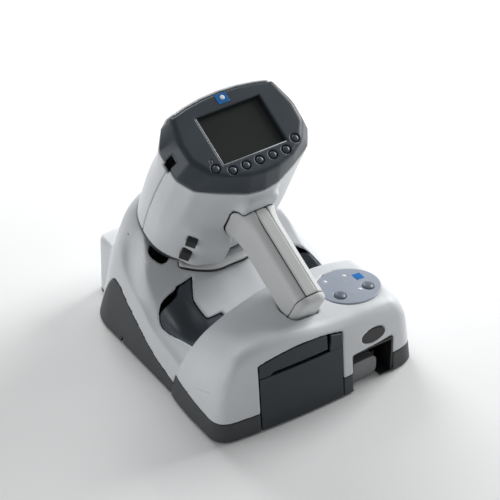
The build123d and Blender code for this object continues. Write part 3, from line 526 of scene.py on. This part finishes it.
def outline_radius(points, blur):
    """Radius in each direction from the head's centre line to a closed outline."""
    ring = np.array(points + points[:1], float)
    along = np.linspace(0, 1, 40, endpoint=False)[:, None]
    dense = np.concatenate([a + (b - a) * along for a, b in zip(ring, ring[1:])])
    angle, reach = polar(dense[:, 0], dense[:, 1])
    order = np.argsort(angle)
    radius = np.interp(ANGLES, angle[order], reach[order], period=2 * math.pi)
    width = np.arange(-8, 9)
    kernel = np.exp(-0.5 * (width / blur) ** 2)
    wrapped = np.concatenate([radius[-9:-1], radius, radius[1:9]])
    return np.convolve(wrapped, kernel / kernel.sum(), mode="valid")


R_FACE = outline_radius(FACE_OUTLINE, 1.6)
R_BACK = outline_radius(BACK_OUTLINE, 1.6)
TOP_SECTOR = ease((36.5 - np.abs(np.degrees(ANGLES) - 90.0) + 18.0) / 3.0)


def head_table():
    """Radius of the head for each depth and direction."""
    stations = [(-22.0, R_BACK)]
    lower = ease(-np.sin(ANGLES) * 4.0)
    for w, a, b in HEAD_SECTIONS:
        across, up = np.abs(np.cos(ANGLES)) / a, np.abs(np.sin(ANGLES)) / b
        r = (across ** HEAD_POWER + up ** HEAD_POWER) ** (-1 / HEAD_POWER)
        share = lower * float(np.interp(-w, [22, 45, 75, 120], [0.95, 0.85, 0.6, 0.0]))
        stations.append((w, r * (1 - share) + np.minimum(r, R_BACK) * share))
    depth = np.array([s[0] for s in stations][::-1])
    rings = np.array([s[1] for s in stations][::-1])
    grid = np.arange(-160.0, -21.5, 1.0)
    table = np.stack([curve(list(zip(depth, rings[:, k])))(grid) for k in range(len(ANGLES))], axis=1)
    front = np.arange(-21.0, 3.5, 1.0)
    lip = ease(np.clip(-front / 12.0, 0, 1))[:, None]
    shell = (R_FACE + 2.0) * (1 - lip) + R_BACK * lip
    slant = R_FACE + (R_BACK - R_FACE) * np.clip(-front / 22.0, 0, 1)[:, None]
    return np.concatenate([table, TOP_SECTOR * shell + (1 - TOP_SECTOR) * slant])


def bezel_table():
    """Radius of the bezel for each depth and direction."""
    front = np.arange(-24.0, 3.5, 1.0)
    slant = R_FACE + (R_BACK - R_FACE) * np.clip(-front / 22.0, 0, 1)[:, None]
    return TOP_SECTOR * (R_FACE - 1.0) + (1 - TOP_SECTOR) * slant


def look_up(table, first_depth, theta, w):
    """Bilinear value of a table in depth and direction."""
    i = np.clip(w - first_depth, 0, len(table) - 1.001)
    j = np.clip(np.degrees(theta), 0, 359.999)
    i0, j0 = i.astype(int), j.astype(int)
    fi, fj = i - i0, j - j0
    low = table[i0, j0] * (1 - fj) + table[i0, j0 + 1] * fj
    high = table[i0 + 1, j0] * (1 - fj) + table[i0 + 1, j0 + 1] * fj
    return low * (1 - fi) + high * fi


HEAD_R = head_table()
BEZEL_R = bezel_table()


def head_form(u, v, w):
    """The head as a solid with its port bulge, without end faces."""
    theta, r = polar(u, v)
    tube = (r - look_up(HEAD_R, HEAD_REAR_W, theta, w)) * 0.93
    bulge = half_plane(u, v, -63.5, -30, -47, -56)
    bulge = smax(bulge, half_plane(u, v, -50, -55, -22, -62.5), 5)
    bulge = smax(bulge, -61.5 - u, 6)
    bulge = smax(bulge, u + 17.0 + 0.18 * (v + 40.0), 8)
    slope = (w + 78.0) * 0.8 - (v + 34.0) * 0.6
    bulge = smax(bulge, slope, 12)
    bulge = smax(bulge, -146.0 - w, 6)
    bulge = smax(bulge, v + 20.0, 10)
    neck = smax(rounded_rect(u, w + 45.0, 20.0, 12.0, 10.0), -60.8 - v, 4)
    return smin(smin(tube, bulge, 6), np.maximum(neck, v + 30.0), 8)


def grip_form(u, v, w):
    """The grip with its flare into the head."""
    grow = 11.0 * np.clip((v + 84.0) / 36.0, 0, 1.2) ** 2.4
    form = rounded_rect(u, w - GRIP_MID_W, GRIP_HALF_W + grow, GRIP_HALF_D + 0.55 * grow, 11.5 + 0.5 * grow)
    return smax(form, GRIP_END - v, 7)


def strip_groove(u, v, w):
    """Room of the light strip on the grip's front."""
    return np.maximum(np.maximum(np.abs(u) - 6.6, -52.4 - w), v + 60.0)


def port_rooms(u, v, w):
    """Mouths of the two ports on the bulge's slanting side."""
    rooms = None
    for depth, wide, tall in ((-101.0, 4.2, 4.7), (-126.0, 3.7, 6.7)):
        a = (u + 54.0) * math.sqrt(0.5) + (v + 47.0) * math.sqrt(0.5)
        b = (v + 47.0) * math.sqrt(0.5) - (u + 54.0) * math.sqrt(0.5)
        room = np.maximum(np.maximum(np.abs(a) - 9.0, np.abs(b) - wide - 0.6), np.abs(w - depth) - tall - 0.3)
        rooms = room if rooms is None else np.minimum(rooms, room)
    return rooms


def head_shell_field(p, upper):
    """One half of the head, hollow."""
    u, v, w = p[:, 0], p[:, 1], p[:, 2]
    outer = head_form(u, v, w)
    theta, r = polar(u, v)
    sector = look_up(np.stack([TOP_SECTOR, TOP_SECTOR]), 0.0, theta, np.zeros_like(u))
    front = w + 22.4 - sector * 21.0
    bezel_room = (r - look_up(BEZEL_R, -24.0, theta, w)) * 0.93 - 0.35
    body = smax(outer, front, 1.6)
    body = np.maximum(body, -146.8 - w)
    body = np.maximum(body, -(np.maximum(outer + HEAD_SKIN, HEAD_REAR_W - w)))
    body = np.maximum(body, -np.maximum(bezel_room, -25.0 - w))
    half = (0.35 - v + 0.9) if upper else (v + 0.35 - 0.9)
    body = smax(body, half, 1.0)
    if not upper:
        body = np.maximum(body, -np.maximum(grip_form(u, v, w) + 1.0, v + 44.0))
        body = smax(body, -port_rooms(u, v, w), 0.8)
        dimple = np.sqrt((u + 30.0) ** 2 + (v + 52.0) ** 2 + (w + 27.5) ** 2) - 3.2
        body = smax(body, -dimple, 1.0)
    notch = np.maximum(np.maximum(np.abs(v - 2.75) - 5.3, 68.5 - np.abs(u)), -30.0 - w)
    return smax(body, -notch, 1.0)


def grip_field(p):
    """Grip shell down to the cap's seam."""
    u, v, w = p[:, 0], p[:, 1], p[:, 2]
    outer = grip_form(u, v, w)
    head = head_form(u, v, w) - 0.45
    body = smax(outer, -head, 1.2)
    body = np.maximum(body, -(np.maximum(outer + GRIP_SKIN, CAP_SEAM - 20 - v)))
    body = smax(body, CAP_SEAM + 0.35 - v, 1.0)
    body = smax(body, -strip_groove(u, v, w), 0.9)
    trigger = np.maximum(np.maximum(np.abs(u) - 8.4, np.abs(v + 79.5) - 12.9), w + 94.0)
    return smax(body, -trigger, 0.8)


def cap_field(p):
    """End cap of the grip, below the cap's seam."""
    u, v, w = p[:, 0], p[:, 1], p[:, 2]
    return smax(grip_form(u, v, w), v - CAP_SEAM + 0.35, 1.2)


KEYS = [(-44.4, -26.9)] + [(14.9 * i, -34.4) for i in range(-2, 3)] + [(44.4, -26.9)]


def bezel_field(p):
    """Dark front round the screen and the keys."""
    u, v, w = p[:, 0], p[:, 1], p[:, 2]
    theta, r = polar(u, v)
    side = (r - look_up(BEZEL_R, -24.0, theta, w)) * 0.93
    outer = smax(side, w, 4.5)
    body = smax(outer, -21.7 - w, 0.6)
    body = np.maximum(body, -np.maximum(np.maximum(side + 2.6, w + 6.5), -40.0 - w))
    screen = rounded_rect(u, v, SCREEN_W / 2, SCREEN_H / 2, 0.8)
    body = smax(body, -screen, 1.1)
    for ku, kv in KEYS:
        body = smax(body, -np.maximum(np.hypot(u - ku, v - kv) - 4.75, -2.0 - w), 0.8)
        body = np.maximum(body, -(np.hypot(u - ku, v - kv) - 4.0))
    body = np.maximum(body, -(np.hypot(u + 44.6, v + 18.8) - 1.6))
    notch = np.maximum(np.maximum(np.abs(v - 2.75) - 4.4, 69.0 - np.abs(u)), w + 10.0)
    return smax(body, -notch, 1.2)


def ring_field(p):
    """Dark ring and end plate of the nose."""
    u, v, w = p[:, 0], p[:, 1], p[:, 2]
    theta, r = polar(u, v)
    side = (r - look_up(HEAD_R, HEAD_REAR_W, theta, w)) * 0.93
    step = side + 0.3 * ((w + 151.5) / 4.5) ** 2
    body = smax(smax(step, w + 147.2, 1.0), -156.0 - w, 2.5)
    hole = np.hypot(u, v + 4.0) - 24.2
    body = np.maximum(body, -np.maximum(side + 4.0, -151.0 - w))
    return smax(body, -hole, 1.2)


# ---------------------------------------------------------------- materials
def node(tree, kind, **inputs):
    """Adds a shader node and sets its inputs."""
    made = tree.nodes.new(kind)
    for key, value in inputs.items():
        made.inputs[key.replace("_", " ")].default_value = value
    return made


def moulded(name, dark, light, rough=0.5, grain=1400.0, bump=0.06, patch=22.0, specular=0.5, painted_edge_light=0.0,
            metallic=0.0):
    """Moulded surface: mottled colour, uneven gloss, fine grain and painted highlight that lightens sharp convex
    edges.
    """
    made = bpy.data.materials.new(name)
    made.use_nodes = True
    tree = made.node_tree
    link = tree.links.new
    shader = tree.nodes["Principled BSDF"]
    place = tree.nodes.new("ShaderNodeTexCoord")
    cloud = node(tree, "ShaderNodeTexNoise", Scale=patch, Detail=5.0, Roughness=0.6)
    fine = node(tree, "ShaderNodeTexNoise", Scale=grain, Detail=2.0, Roughness=0.5)
    for texture in (cloud, fine):
        link(place.outputs["Object"], texture.inputs["Vector"])
    ramp = tree.nodes.new("ShaderNodeValToRGB")
    ramp.color_ramp.elements[0].position = 0.32
    ramp.color_ramp.elements[0].color = (*dark, 1)
    ramp.color_ramp.elements[1].position = 0.68
    ramp.color_ramp.elements[1].color = (*light, 1)
    link(cloud.outputs["Fac"], ramp.inputs["Fac"])
    colour = ramp.outputs["Color"]
    # Painted highlight: sharp convex edges, found by pointiness, are mixed towards a lighter colour.
    if painted_edge_light:
        geometry = tree.nodes.new("ShaderNodeNewGeometry")
        edge = tree.nodes.new("ShaderNodeMapRange")
        edge.inputs["From Min"].default_value = 0.52
        edge.inputs["From Max"].default_value = 0.60
        edge.inputs["To Max"].default_value = painted_edge_light
        link(geometry.outputs["Pointiness"], edge.inputs["Value"])
        mix = tree.nodes.new("ShaderNodeMix")
        mix.data_type = "RGBA"
        mix_inputs = [s for s in mix.inputs if s.type == "RGBA"]
        mix_inputs[1].default_value = (*[min(1.0, 1.6 * c + 0.05) for c in light], 1)
        link(edge.outputs["Result"], mix.inputs["Factor"])
        link(colour, mix_inputs[0])
        colour = [s for s in mix.outputs if s.type == "RGBA"][0]
    link(colour, shader.inputs["Base Color"])
    gloss = tree.nodes.new("ShaderNodeMapRange")
    gloss.inputs["To Min"].default_value = rough - 0.05
    gloss.inputs["To Max"].default_value = rough + 0.06
    link(cloud.outputs["Fac"], gloss.inputs["Value"])
    link(gloss.outputs["Result"], shader.inputs["Roughness"])
    relief = node(tree, "ShaderNodeBump", Strength=bump, Distance=0.0004)
    link(fine.outputs["Fac"], relief.inputs["Height"])
    link(relief.outputs["Normal"], shader.inputs["Normal"])
    shader.inputs["Specular IOR Level"].default_value = specular
    shader.inputs["Metallic"].default_value = metallic
    return made


WHITE = moulded("shell_white", (0.66, 0.68, 0.70), (0.70, 0.72, 0.735), 0.42, 1500, 0.05, 14)
WHITE_WARM = moulded("grip_white", (0.63, 0.64, 0.64), (0.67, 0.68, 0.68), 0.45, 1500, 0.06, 18)
# The dark mouldings below carry painted highlight on their sharp edges.
TRAY = moulded("tray_grey", (0.040, 0.045, 0.048), (0.050, 0.056, 0.060), 0.5, 1200, 0.10, 16, painted_edge_light=0.25)
DARK = moulded("front_dark", (0.028, 0.039, 0.050), (0.036, 0.049, 0.062), 0.40, 1300, 0.08, 20, painted_edge_light=0.35)
DOOR = moulded("door_dark", (0.012, 0.019, 0.026), (0.017, 0.026, 0.034), 0.42, 1300, 0.10, 20, painted_edge_light=0.3)
WELL = moulded("well_dark", (0.048, 0.060, 0.072), (0.062, 0.076, 0.090), 0.45, 1200, 0.10, 24)
PANEL_GREY = moulded("panel_grey", (0.31, 0.35, 0.42), (0.35, 0.39, 0.46), 0.38, 1600, 0.05, 30)
BUTTON = moulded("button_grey", (0.12, 0.145, 0.18), (0.15, 0.18, 0.22), 0.35, 1600, 0.06, 60, painted_edge_light=0.3)
KEY = moulded("key_dark", (0.045, 0.058, 0.07), (0.062, 0.078, 0.092), 0.28, 1600, 0.05, 60, painted_edge_light=0.3)
BLACK = moulded("black_plastic", (0.012, 0.012, 0.013), (0.020, 0.020, 0.022), 0.5, 1200, 0.12, 40, painted_edge_light=0.2)
RUBBER = moulded("soft_rubber", (0.020, 0.020, 0.021), (0.032, 0.032, 0.034), 0.8, 800, 0.25, 40)
STRIP = moulded("strip_light", (0.66, 0.67, 0.66), (0.70, 0.71, 0.70), 0.4, 1500, 0.05, 20)
STEEL = moulded("steel", (0.50, 0.50, 0.49), (0.60, 0.60, 0.59), 0.28, 2200, 0.12, 120, metallic=1.0)
ALU = moulded("module_metal", (0.55, 0.55, 0.56), (0.65, 0.65, 0.66), 0.4, 1800, 0.1, 80, metallic=1.0)
GOLD = moulded("contact_gold", (0.70, 0.50, 0.18), (0.80, 0.60, 0.25), 0.25, 1800, 0.05, 80, metallic=1.0)
GEAR = moulded("gear_plastic", (0.62, 0.60, 0.53), (0.70, 0.68, 0.62), 0.5, 1200, 0.08, 60)
BOARD = moulded("board_green", (0.010, 0.09, 0.04), (0.03, 0.16, 0.08), 0.35, 300, 0.1, 180)
PAPER = moulded("paper_white", (0.80, 0.80, 0.77), (0.86, 0.86, 0.84), 0.75, 700, 0.2, 60)
# Light grey painted as the highlight where the screen recess's edges catch the light.
PAINTED_EDGE_HIGHLIGHT = moulded("painted_edge_highlight", (0.26, 0.28, 0.31), (0.34, 0.36, 0.40), 0.35, 900, 0.05, 90)
BATTERY_GREY = moulded("battery_grey", (0.20, 0.21, 0.215), (0.24, 0.25, 0.255), 0.45, 1200, 0.08, 40)
SCREEN_GREY = moulded("screen_grey", (0.026, 0.029, 0.027), (0.030, 0.033, 0.031), 0.30, 500, 0.01, 8,
                      specular=0.25)
SMOKED = moulded("smoked_window", (0.010, 0.010, 0.012), (0.016, 0.016, 0.019), 0.12, 600, 0.01, 30)
BLUE = moulded("badge_blue", (0.006, 0.13, 0.42), (0.010, 0.18, 0.52), 0.3, 900, 0.04, 90)
LAMP = moulded("lamp_clear", (0.86, 0.88, 0.90), (0.93, 0.94, 0.95), 0.25, 900, 0.05, 90)
AMBER = moulded("lamp_amber", (0.10, 0.075, 0.06), (0.16, 0.12, 0.09), 0.25, 900, 0.05, 90)


def dress(material, *names):
    """Gives carried-over CAD nodes their material."""
    for name in names:
        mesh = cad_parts[name].data
        if not mesh.materials:
            mesh.materials.append(material)
        for i in range(len(mesh.materials)):
            mesh.materials[i] = material


# ---------------------------------------------------------------- build: shells
def shells():
    """The large moulded pieces."""
    low, high = (-118.0, -141.0, 0.0), (118.0, 141.0, 130.0)
    points, faces = mesh_of(top_shell_field, low, high, 1.5)
    piece("top_shell_moulding", points, faces, "station", WHITE, ["top_shell"])
    points, faces = mesh_of(tray_field, low, (118.0, 141.0, 58.0), 1.5)
    piece("base_tray_moulding", points, faces, "station", TRAY, ["base_tray"])
    points, faces = mesh_of(well_field, (-98, -44, 22), (98, 36, 80), 1.2)
    piece("finger_well_mouldings", points, faces, "station", WELL, ["finger_wells"])


def display_piece(name, field, low, high, step, material, replaces):
    """A handset piece meshed in the display frame."""
    points, faces = mesh_of(field, low, high, step)
    return piece(name, from_display(points), faces, "handset", material, replaces)


def handset_shells():
    """Head halves, bezel, nose ring and grip."""
    display_piece("head_top_moulding", lambda q: head_shell_field(q, True), (-79, -2, -150), (79, 52, 2),
                  1.3, WHITE, ["head_top_shell"])
    display_piece("head_bottom_moulding", lambda q: head_shell_field(q, False), (-79, -70, -150), (79, 4, 0),
                  1.3, WHITE, ["head_bottom_shell"])
    display_piece("bezel_moulding", bezel_field, (-77, -60, -24), (77, 50, 3), 0.9,
                  DARK, ["bezel"])
    display_piece("nose_ring_moulding", ring_field, (-75, -56, -159), (75, 50, -145), 1.2,
                  DARK, ["nose_ring"])
    display_piece("grip_moulding", grip_field, (-38, -172, -118), (38, -36, -38), 1.1,
                  WHITE_WARM, ["grip_shell"])
    display_piece("grip_cap_moulding", cap_field, (-22, -173, -103), (22, -158, -45), 1.0,
                  WHITE_WARM, ["grip_cap"])


# ---------------------------------------------------------------- build: small handset pieces
def plate_outline(half_x, half_y, r, steps=5):
    """Rounded rectangle points."""
    points = []
    for cx, cy, start in ((1, 1, 0), (-1, 1, 90), (-1, -1, 180), (1, -1, 270)):
        for i in range(steps + 1):
            a = math.radians(start + 90.0 * i / steps)
            points.append((cx * (half_x - r) + r * math.cos(a), cy * (half_y - r) + r * math.sin(a)))
    return points


def handset_piece(name, points, faces, material, replaces=(), at=(0, 0, 0), body="handset", smooth=True):
    """Small piece given in the display frame."""
    return piece(name, from_display(np.asarray(points) + np.array(at, float)), faces, body, material,
                 replaces, smooth)


def screen_parts():
    """Glass, display module, light-grey strips painted as highlight along the recess's left and lower edges, and
    the plain coloured tile above them.
    """
    points, faces = prism(plate_outline(38.3, 29.4, 1.0), -6.4, -5.2)
    bevelled(handset_piece("display_pane", points, faces, SCREEN_GREY, ["display_glass"]), 0.25)
    points, faces = prism(plate_outline(39.2, 29.9, 1.5), -11.4, -6.6)
    bevelled(handset_piece("display_unit", points, faces, ALU, ["lcd_module"]), 0.5)
    # Painted highlight: thin light-grey strips just inside the recess's left and lower edges.
    for name, width, height, u, v in (("left", 0.55, SCREEN_H / 2 - 0.4, -35.2, 0.0),
                                      ("lower", SCREEN_W / 2 - 0.8, 0.55, 0.0, -26.5)):
        points, faces = prism(plate_outline(width, height, 0.3, 2), -2.4, -0.5)
        handset_piece(f"painted_screen_highlight_{name}", points, faces, PAINTED_EDGE_HIGHLIGHT, at=(u, v, 0))
    points, faces = prism(plate_outline(6.2, 5.3, 0.4), -1.2, 0.3)
    bevelled(handset_piece("front_tile", points, faces, BLUE, at=(0, 37.2, 0)), 0.15)
    points, faces = turned([(0, 0.46), (2.3, 0.44), (2.5, 0.34), (2.5, 0.1), (0, 0.1)], 32)
    handset_piece("front_tile_disc", points, faces, LAMP, at=(0.6, 37.8, 0))


def keys():
    """Seven domed keys in their counterbores."""
    profile = [(0, 0.75), (1.4, 0.68), (2.6, 0.42), (3.3, 0.02), (3.62, -0.5), (3.72, -1.0), (3.72, -3.5),
               (4.4, -3.6), (4.4, -4.4), (0, -4.4)]
    points, faces = turned(profile, 40)
    for i, (u, v) in enumerate(KEYS):
        key = f"key_{i + 1}"
        handset_piece(f"key_cap_{i + 1}", points, faces, KEY, [key], (u, v, 0), key)
    points, faces = turned([(0, 0.15), (0.9, 0.08), (1.4, -0.2), (1.5, -0.5), (1.5, -5.6), (0, -5.6)], 24)
    handset_piece("status_light", points, faces, AMBER, ["status_lamp"], (-44.6, -18.8, 0))


def grip_parts():
    """Light strip on the grip's front, on a dark seal."""
    for name, half, low, high, material, slot, replaces, edge in (
            ("grip_strip_seal", 6.5, -52.3, -51.6, BLACK, "black_plastic", [], 0.2),
            ("grip_front_strip", 5.9, -52.2, -49.6, STRIP, "strip_light", ["grip_strip"], 1.1)):
        outline = [(-half, 0), (half, 0), (half, 95.5), (half - 1.8, 97.0), (1.8 - half, 97.0), (-half, 95.5)]
        points, faces = prism(outline, low, high)
        bevelled(handset_piece(name, points, faces, material, replaces, (0, CAP_SEAM + 0.4, 0)), edge)


# ---------------------------------------------------------------- build: station pieces
def bowed_slab(name, x0, x1, low, high, proud, thick, material, body, replaces=(), across=14, up=8,
               edge=0.8):
    """Plate that follows the bowed front between two height functions."""
    points, faces = [], []
    for layer in (0, 1):
        for i in range(across + 1):
            x = x0 + (x1 - x0) * i / across
            for j in range(up + 1):
                z = low(x) + (high(x) - low(x)) * j / up
                points.append((x, front_y(x, z) - proud + layer * thick, z))
    step = up + 1
    size = (across + 1) * step
    for i in range(across):
        for j in range(up):
            a = i * step + j
            faces.append((a, a + step, a + step + 1, a + 1))
            faces.append((size + a, size + a + 1, size + a + step + 1, size + a + step))
    for i in range(across):
        a, b = i * step, i * step + up
        faces.append((a, size + a, size + a + step, a + step))
        faces.append((b, b + step, size + b + step, size + b))
    for j in range(up):
        a, b = j, across * step + j
        faces.append((a, a + 1, size + a + 1, size + a))
        faces.append((b, size + b, size + b + 1, b + 1))
    return bevelled(piece(name, points, faces, body, material, replaces), edge, 2, 50)


def printer_front():
    """Door with its ear, release tab and the fixed strip over the slot."""
    bowed_slab("door_panel", DOOR_X0 + 0.6, DOOR_X1 - 0.4, lambda x: 2.0, lambda x: DOOR_TOP - 0.2, -0.2, 3.0,
               DOOR, "printer_door", ["printer_door"])
    bowed_slab("door_ear", 10.2, DOOR_X1 - 0.4, lambda x: DOOR_TOP - 0.6, lambda x: door_arc(x) - 9.5, -0.2,
               3.0, DOOR, "printer_door", across=4, up=4)
    bowed_slab("release_tab", 10.8, DOOR_X1 - 0.8, lambda x: 67.0, lambda x: door_arc(x) - 0.6, 0.9, 3.0, DOOR,
               "door_catch", ["door_catch"], across=4, up=4)
    bowed_slab("slot_strip", DOOR_X0 + 0.6, 7.4, lambda x: 61.6 + 3.0 * float(ease((x + 57.0) / 3.0)),
               lambda x: door_arc(x) - 0.4, 0.0, 3.0, DOOR, "station", ["printer_strip"], across=26)


def swept_bar(name, half_y, half_z, lift, shrink, material, replaces):
    """Bar that follows the crease of the cradle, its ends swept to the rear."""
    points, faces = [], []
    samples = np.linspace(-50 + shrink, 50 - shrink, 41)
    section = plate_outline(half_y, half_z, min(half_y, half_z) * 0.8, 4)
    for x in samples:
        end = 1.0 - 0.5 * max(0.0, (abs(x) - 46.0) / 4.0) ** 2
        y = float(CREASE_Y(abs(x))) - 3.2
        z = 74.0 + 0.40 * (y - 23.5) + lift
        slope = (float(CREASE_Y(abs(x) + 1)) - float(CREASE_Y(max(abs(x) - 1, 0)))) / 2 * math.copysign(1, x)
        n = math.hypot(1, slope)
        for a, b in section:
            points.append((x - a * end * slope / n, y + a * end / n, z + b * end + 0.35 * a))
    k = len(section)
    for i in range(len(samples) - 1):
        for j in range(k):
            faces.append((i * k + j, (i + 1) * k + j, (i + 1) * k + (j + 1) % k, i * k + (j + 1) % k))
    faces.append(tuple(range(k)))
    faces.append(tuple(range((len(samples) - 1) * k, len(samples) * k))[::-1])
    return piece(name, points, faces, "station", material, replaces)


def rest_bar():
    """Light bar on its dark seal."""
    swept_bar("cradle_rest_seal", 4.6, 1.6, -0.6, 0.0, BLACK, [])
    swept_bar("cradle_rest_bar", 3.9, 2.2, 0.5, 0.8, STRIP, ["rest_pad"])


def panel_world(points):
    """Panel-frame points in the world."""
    c, s = math.cos(PANEL_LEAN), math.sin(PANEL_LEAN)
    p = np.asarray(points, float)
    return np.stack([p[:, 0] * c + p[:, 2] * s, p[:, 1], p[:, 2] * c - p[:, 0] * s], axis=1) + PANEL


BUTTONS = {"power_button": (17.0, -8.5), "feed_button": (-17.0, -9.5)}
LAMPS = ((6.0, 15.5), (-16.5, 15.5), (7.0, -9.5))


def panel_field(q):
    """Oval panel with holes for its buttons and lamps."""
    x, y, z = q[:, 0], q[:, 1], q[:, 2]
    oval = (np.hypot(x / 33.8, y / 27.6) - 1.0) * 30.0
    body = smax(smax(oval, z - 0.1, 0.8), -3.2 - z, 0.5)
    for bx, by in BUTTONS.values():
        body = smax(body, -(np.hypot(x - bx, y - by) - 6.3), 0.7)
    for lx, ly in LAMPS:
        body = smax(body, -(np.hypot(x - lx, y - ly) - 2.15), 0.5)
    return body


def control_panel():
    """Panel, buttons and lamps."""
    points, faces = mesh_of(panel_field, (-36, -30, -5), (36, 30, 2), 0.8)
    piece("panel_plate", panel_world(points), faces, "station", PANEL_GREY, ["control_panel"])
    profile = [(0, 1.9), (2.2, 1.8), (4.0, 1.45), (5.2, 0.85), (5.75, 0.1), (5.85, -0.6), (5.85, -3.8),
               (7.2, -3.9), (7.2, -4.9), (0, -4.9)]
    points, faces = turned(profile, 48)
    for name, (x, y) in BUTTONS.items():
        place = panel_world(points + np.array([x, y, 0.0]))
        piece(f"{name}_cap", place, faces, name, BUTTON, [name])
    dome, dome_faces = turned([(0, 0.7), (1.0, 0.62), (1.75, 0.4), (2.0, 0.0), (2.0, -2.8), (0, -2.8)], 28)
    all_points = np.concatenate([panel_world(dome + np.array([x, y, 0.0])) for x, y in LAMPS])
    all_faces = [tuple(i + k * len(dome) for i in f) for k in range(len(LAMPS)) for f in dome_faces]
    piece("panel_lights", all_points, all_faces, "station", LAMP, ["panel_lamps"])
    points, faces = prism(plate_outline(4.6, 4.6, 0.5), -0.2, 0.35)
    bevelled(piece("panel_tile", panel_world(points + np.array([17.5, 8.5, 0.0])), faces, "station", BLUE), 0.12)


def spare_battery():
    """Battery with a parted end."""
    outline = [(39.4, 2.8), (70.4 - 7, 2.8)]
    outline += [(63.4 + 7 * math.sin(a), 9.8 - 7 * math.cos(a)) for a in np.radians([22.5, 45, 67.5, 90])]
    outline += [(63.4 + 7 * math.cos(a), 18.3 + 7 * math.sin(a)) for a in np.radians([0, 22.5, 45, 67.5, 90])]
    outline += [(39.4, 25.3)]
    for name, y0, y1, replaces in (("battery_front", -127.0, -121.2, []),
                                   ("battery_body", -120.6, -63.0, ["spare_battery"])):
        ring, faces = prism(outline, y0, y1)
        points = ring[:, [0, 2, 1]]
        faces = [f[::-1] for f in faces]
        bevelled(piece(name, points, faces, "spare_battery", BATTERY_GREY, replaces), 0.9)
    core = [((x - 55) * 0.93 + 55, (z - 14) * 0.93 + 14) for x, z in outline]
    ring, faces = prism(core, -121.4, -120.4)
    piece("battery_joint", ring[:, [0, 2, 1]], [f[::-1] for f in faces], "spare_battery", RUBBER)


# ---------------------------------------------------------------- stage
def stage():
    """Pale floor, studio world and soft lights."""
    size = 9.0
    mesh = bpy.data.meshes.new("floor")
    corners = [(-size, -size), (size, -size), (size, size), (-size, size)]
    mesh.from_pydata([(x, y, -0.0002) for x, y in corners], [], [(0, 1, 2, 3)])
    floor = bpy.data.objects.new("floor", mesh)
    bpy.context.scene.collection.objects.link(floor)
    mesh.materials.append(moulded("floor_pale", (0.90, 0.90, 0.90), (0.93, 0.93, 0.93), 0.7, 60, 0.01, 1.5))
    world = bpy.data.worlds.new("studio")
    bpy.context.scene.world = world
    world.use_nodes = True
    back = world.node_tree.nodes["Background"]
    back.inputs["Color"].default_value = (0.97, 0.985, 1.0, 1)
    back.inputs["Strength"].default_value = WORLD_STRENGTH
    for name, place, side, watts in LIGHTS:
        lamp = bpy.data.lights.new(name, "AREA")
        lamp.size = side
        lamp.energy = watts
        light = bpy.data.objects.new(name, lamp)
        bpy.context.scene.collection.objects.link(light)
        light.location = place
        light.rotation_euler = aimed(np.array(LIGHT_AIM) - np.array(place))


def aimed(direction):
    """Euler turn that points local -Z along a direction."""
    return Vector(direction).to_track_quat("-Z", "Y").to_euler()


def camera():
    """Camera at the photograph's angle."""
    level = math.cos(CAMERA_ELEVATION)
    back = np.array([math.sin(CAMERA_AZIMUTH) * level, -math.cos(CAMERA_AZIMUTH) * level,
                     math.sin(CAMERA_ELEVATION)])
    data = bpy.data.cameras.new("camera")
    data.sensor_width = SENSOR_WIDTH
    data.lens = SENSOR_WIDTH * FOCAL_PIXELS / PHOTO_PIXELS
    data.clip_end = 30.0
    obj = bpy.data.objects.new("camera", data)
    bpy.context.scene.collection.objects.link(obj)
    obj.location = np.array(CAMERA_TARGET) + back * CAMERA_DISTANCE
    obj.rotation_euler = aimed(-back)
    bpy.context.scene.camera = obj


shells()
handset_shells()
screen_parts()
keys()
grip_parts()
printer_front()
rest_bar()
control_panel()
spare_battery()
dress(BLACK, "battery_bay", "power_inlet", "port_sockets", "grip_battery", "trigger", "feed_motor", "prism_motor",
      "paper_core", "cradle_port", "printer_chassis")
dress(SMOKED, "ir_window", "nose_window", "objective_lens")
dress(RUBBER, "rubber_feet", "forehead_rest", "platen_roller")
dress(STEEL, "base_screws", "door_hinge_pins", "platen_shaft")
dress(ALU, "power_supply", "thermal_head", "optics_tube", "fog_target")
dress(GEAR, "idler_gear", "motor_pinion", "prism_wheel", "prism_pinion")
dress(BOARD, "main_board", "station_board")
dress(GOLD, "dock_contacts")
dress(PAPER, "paper_roll")
stage()
camera()
bpy.context.scene.view_settings.view_transform = "Standard"
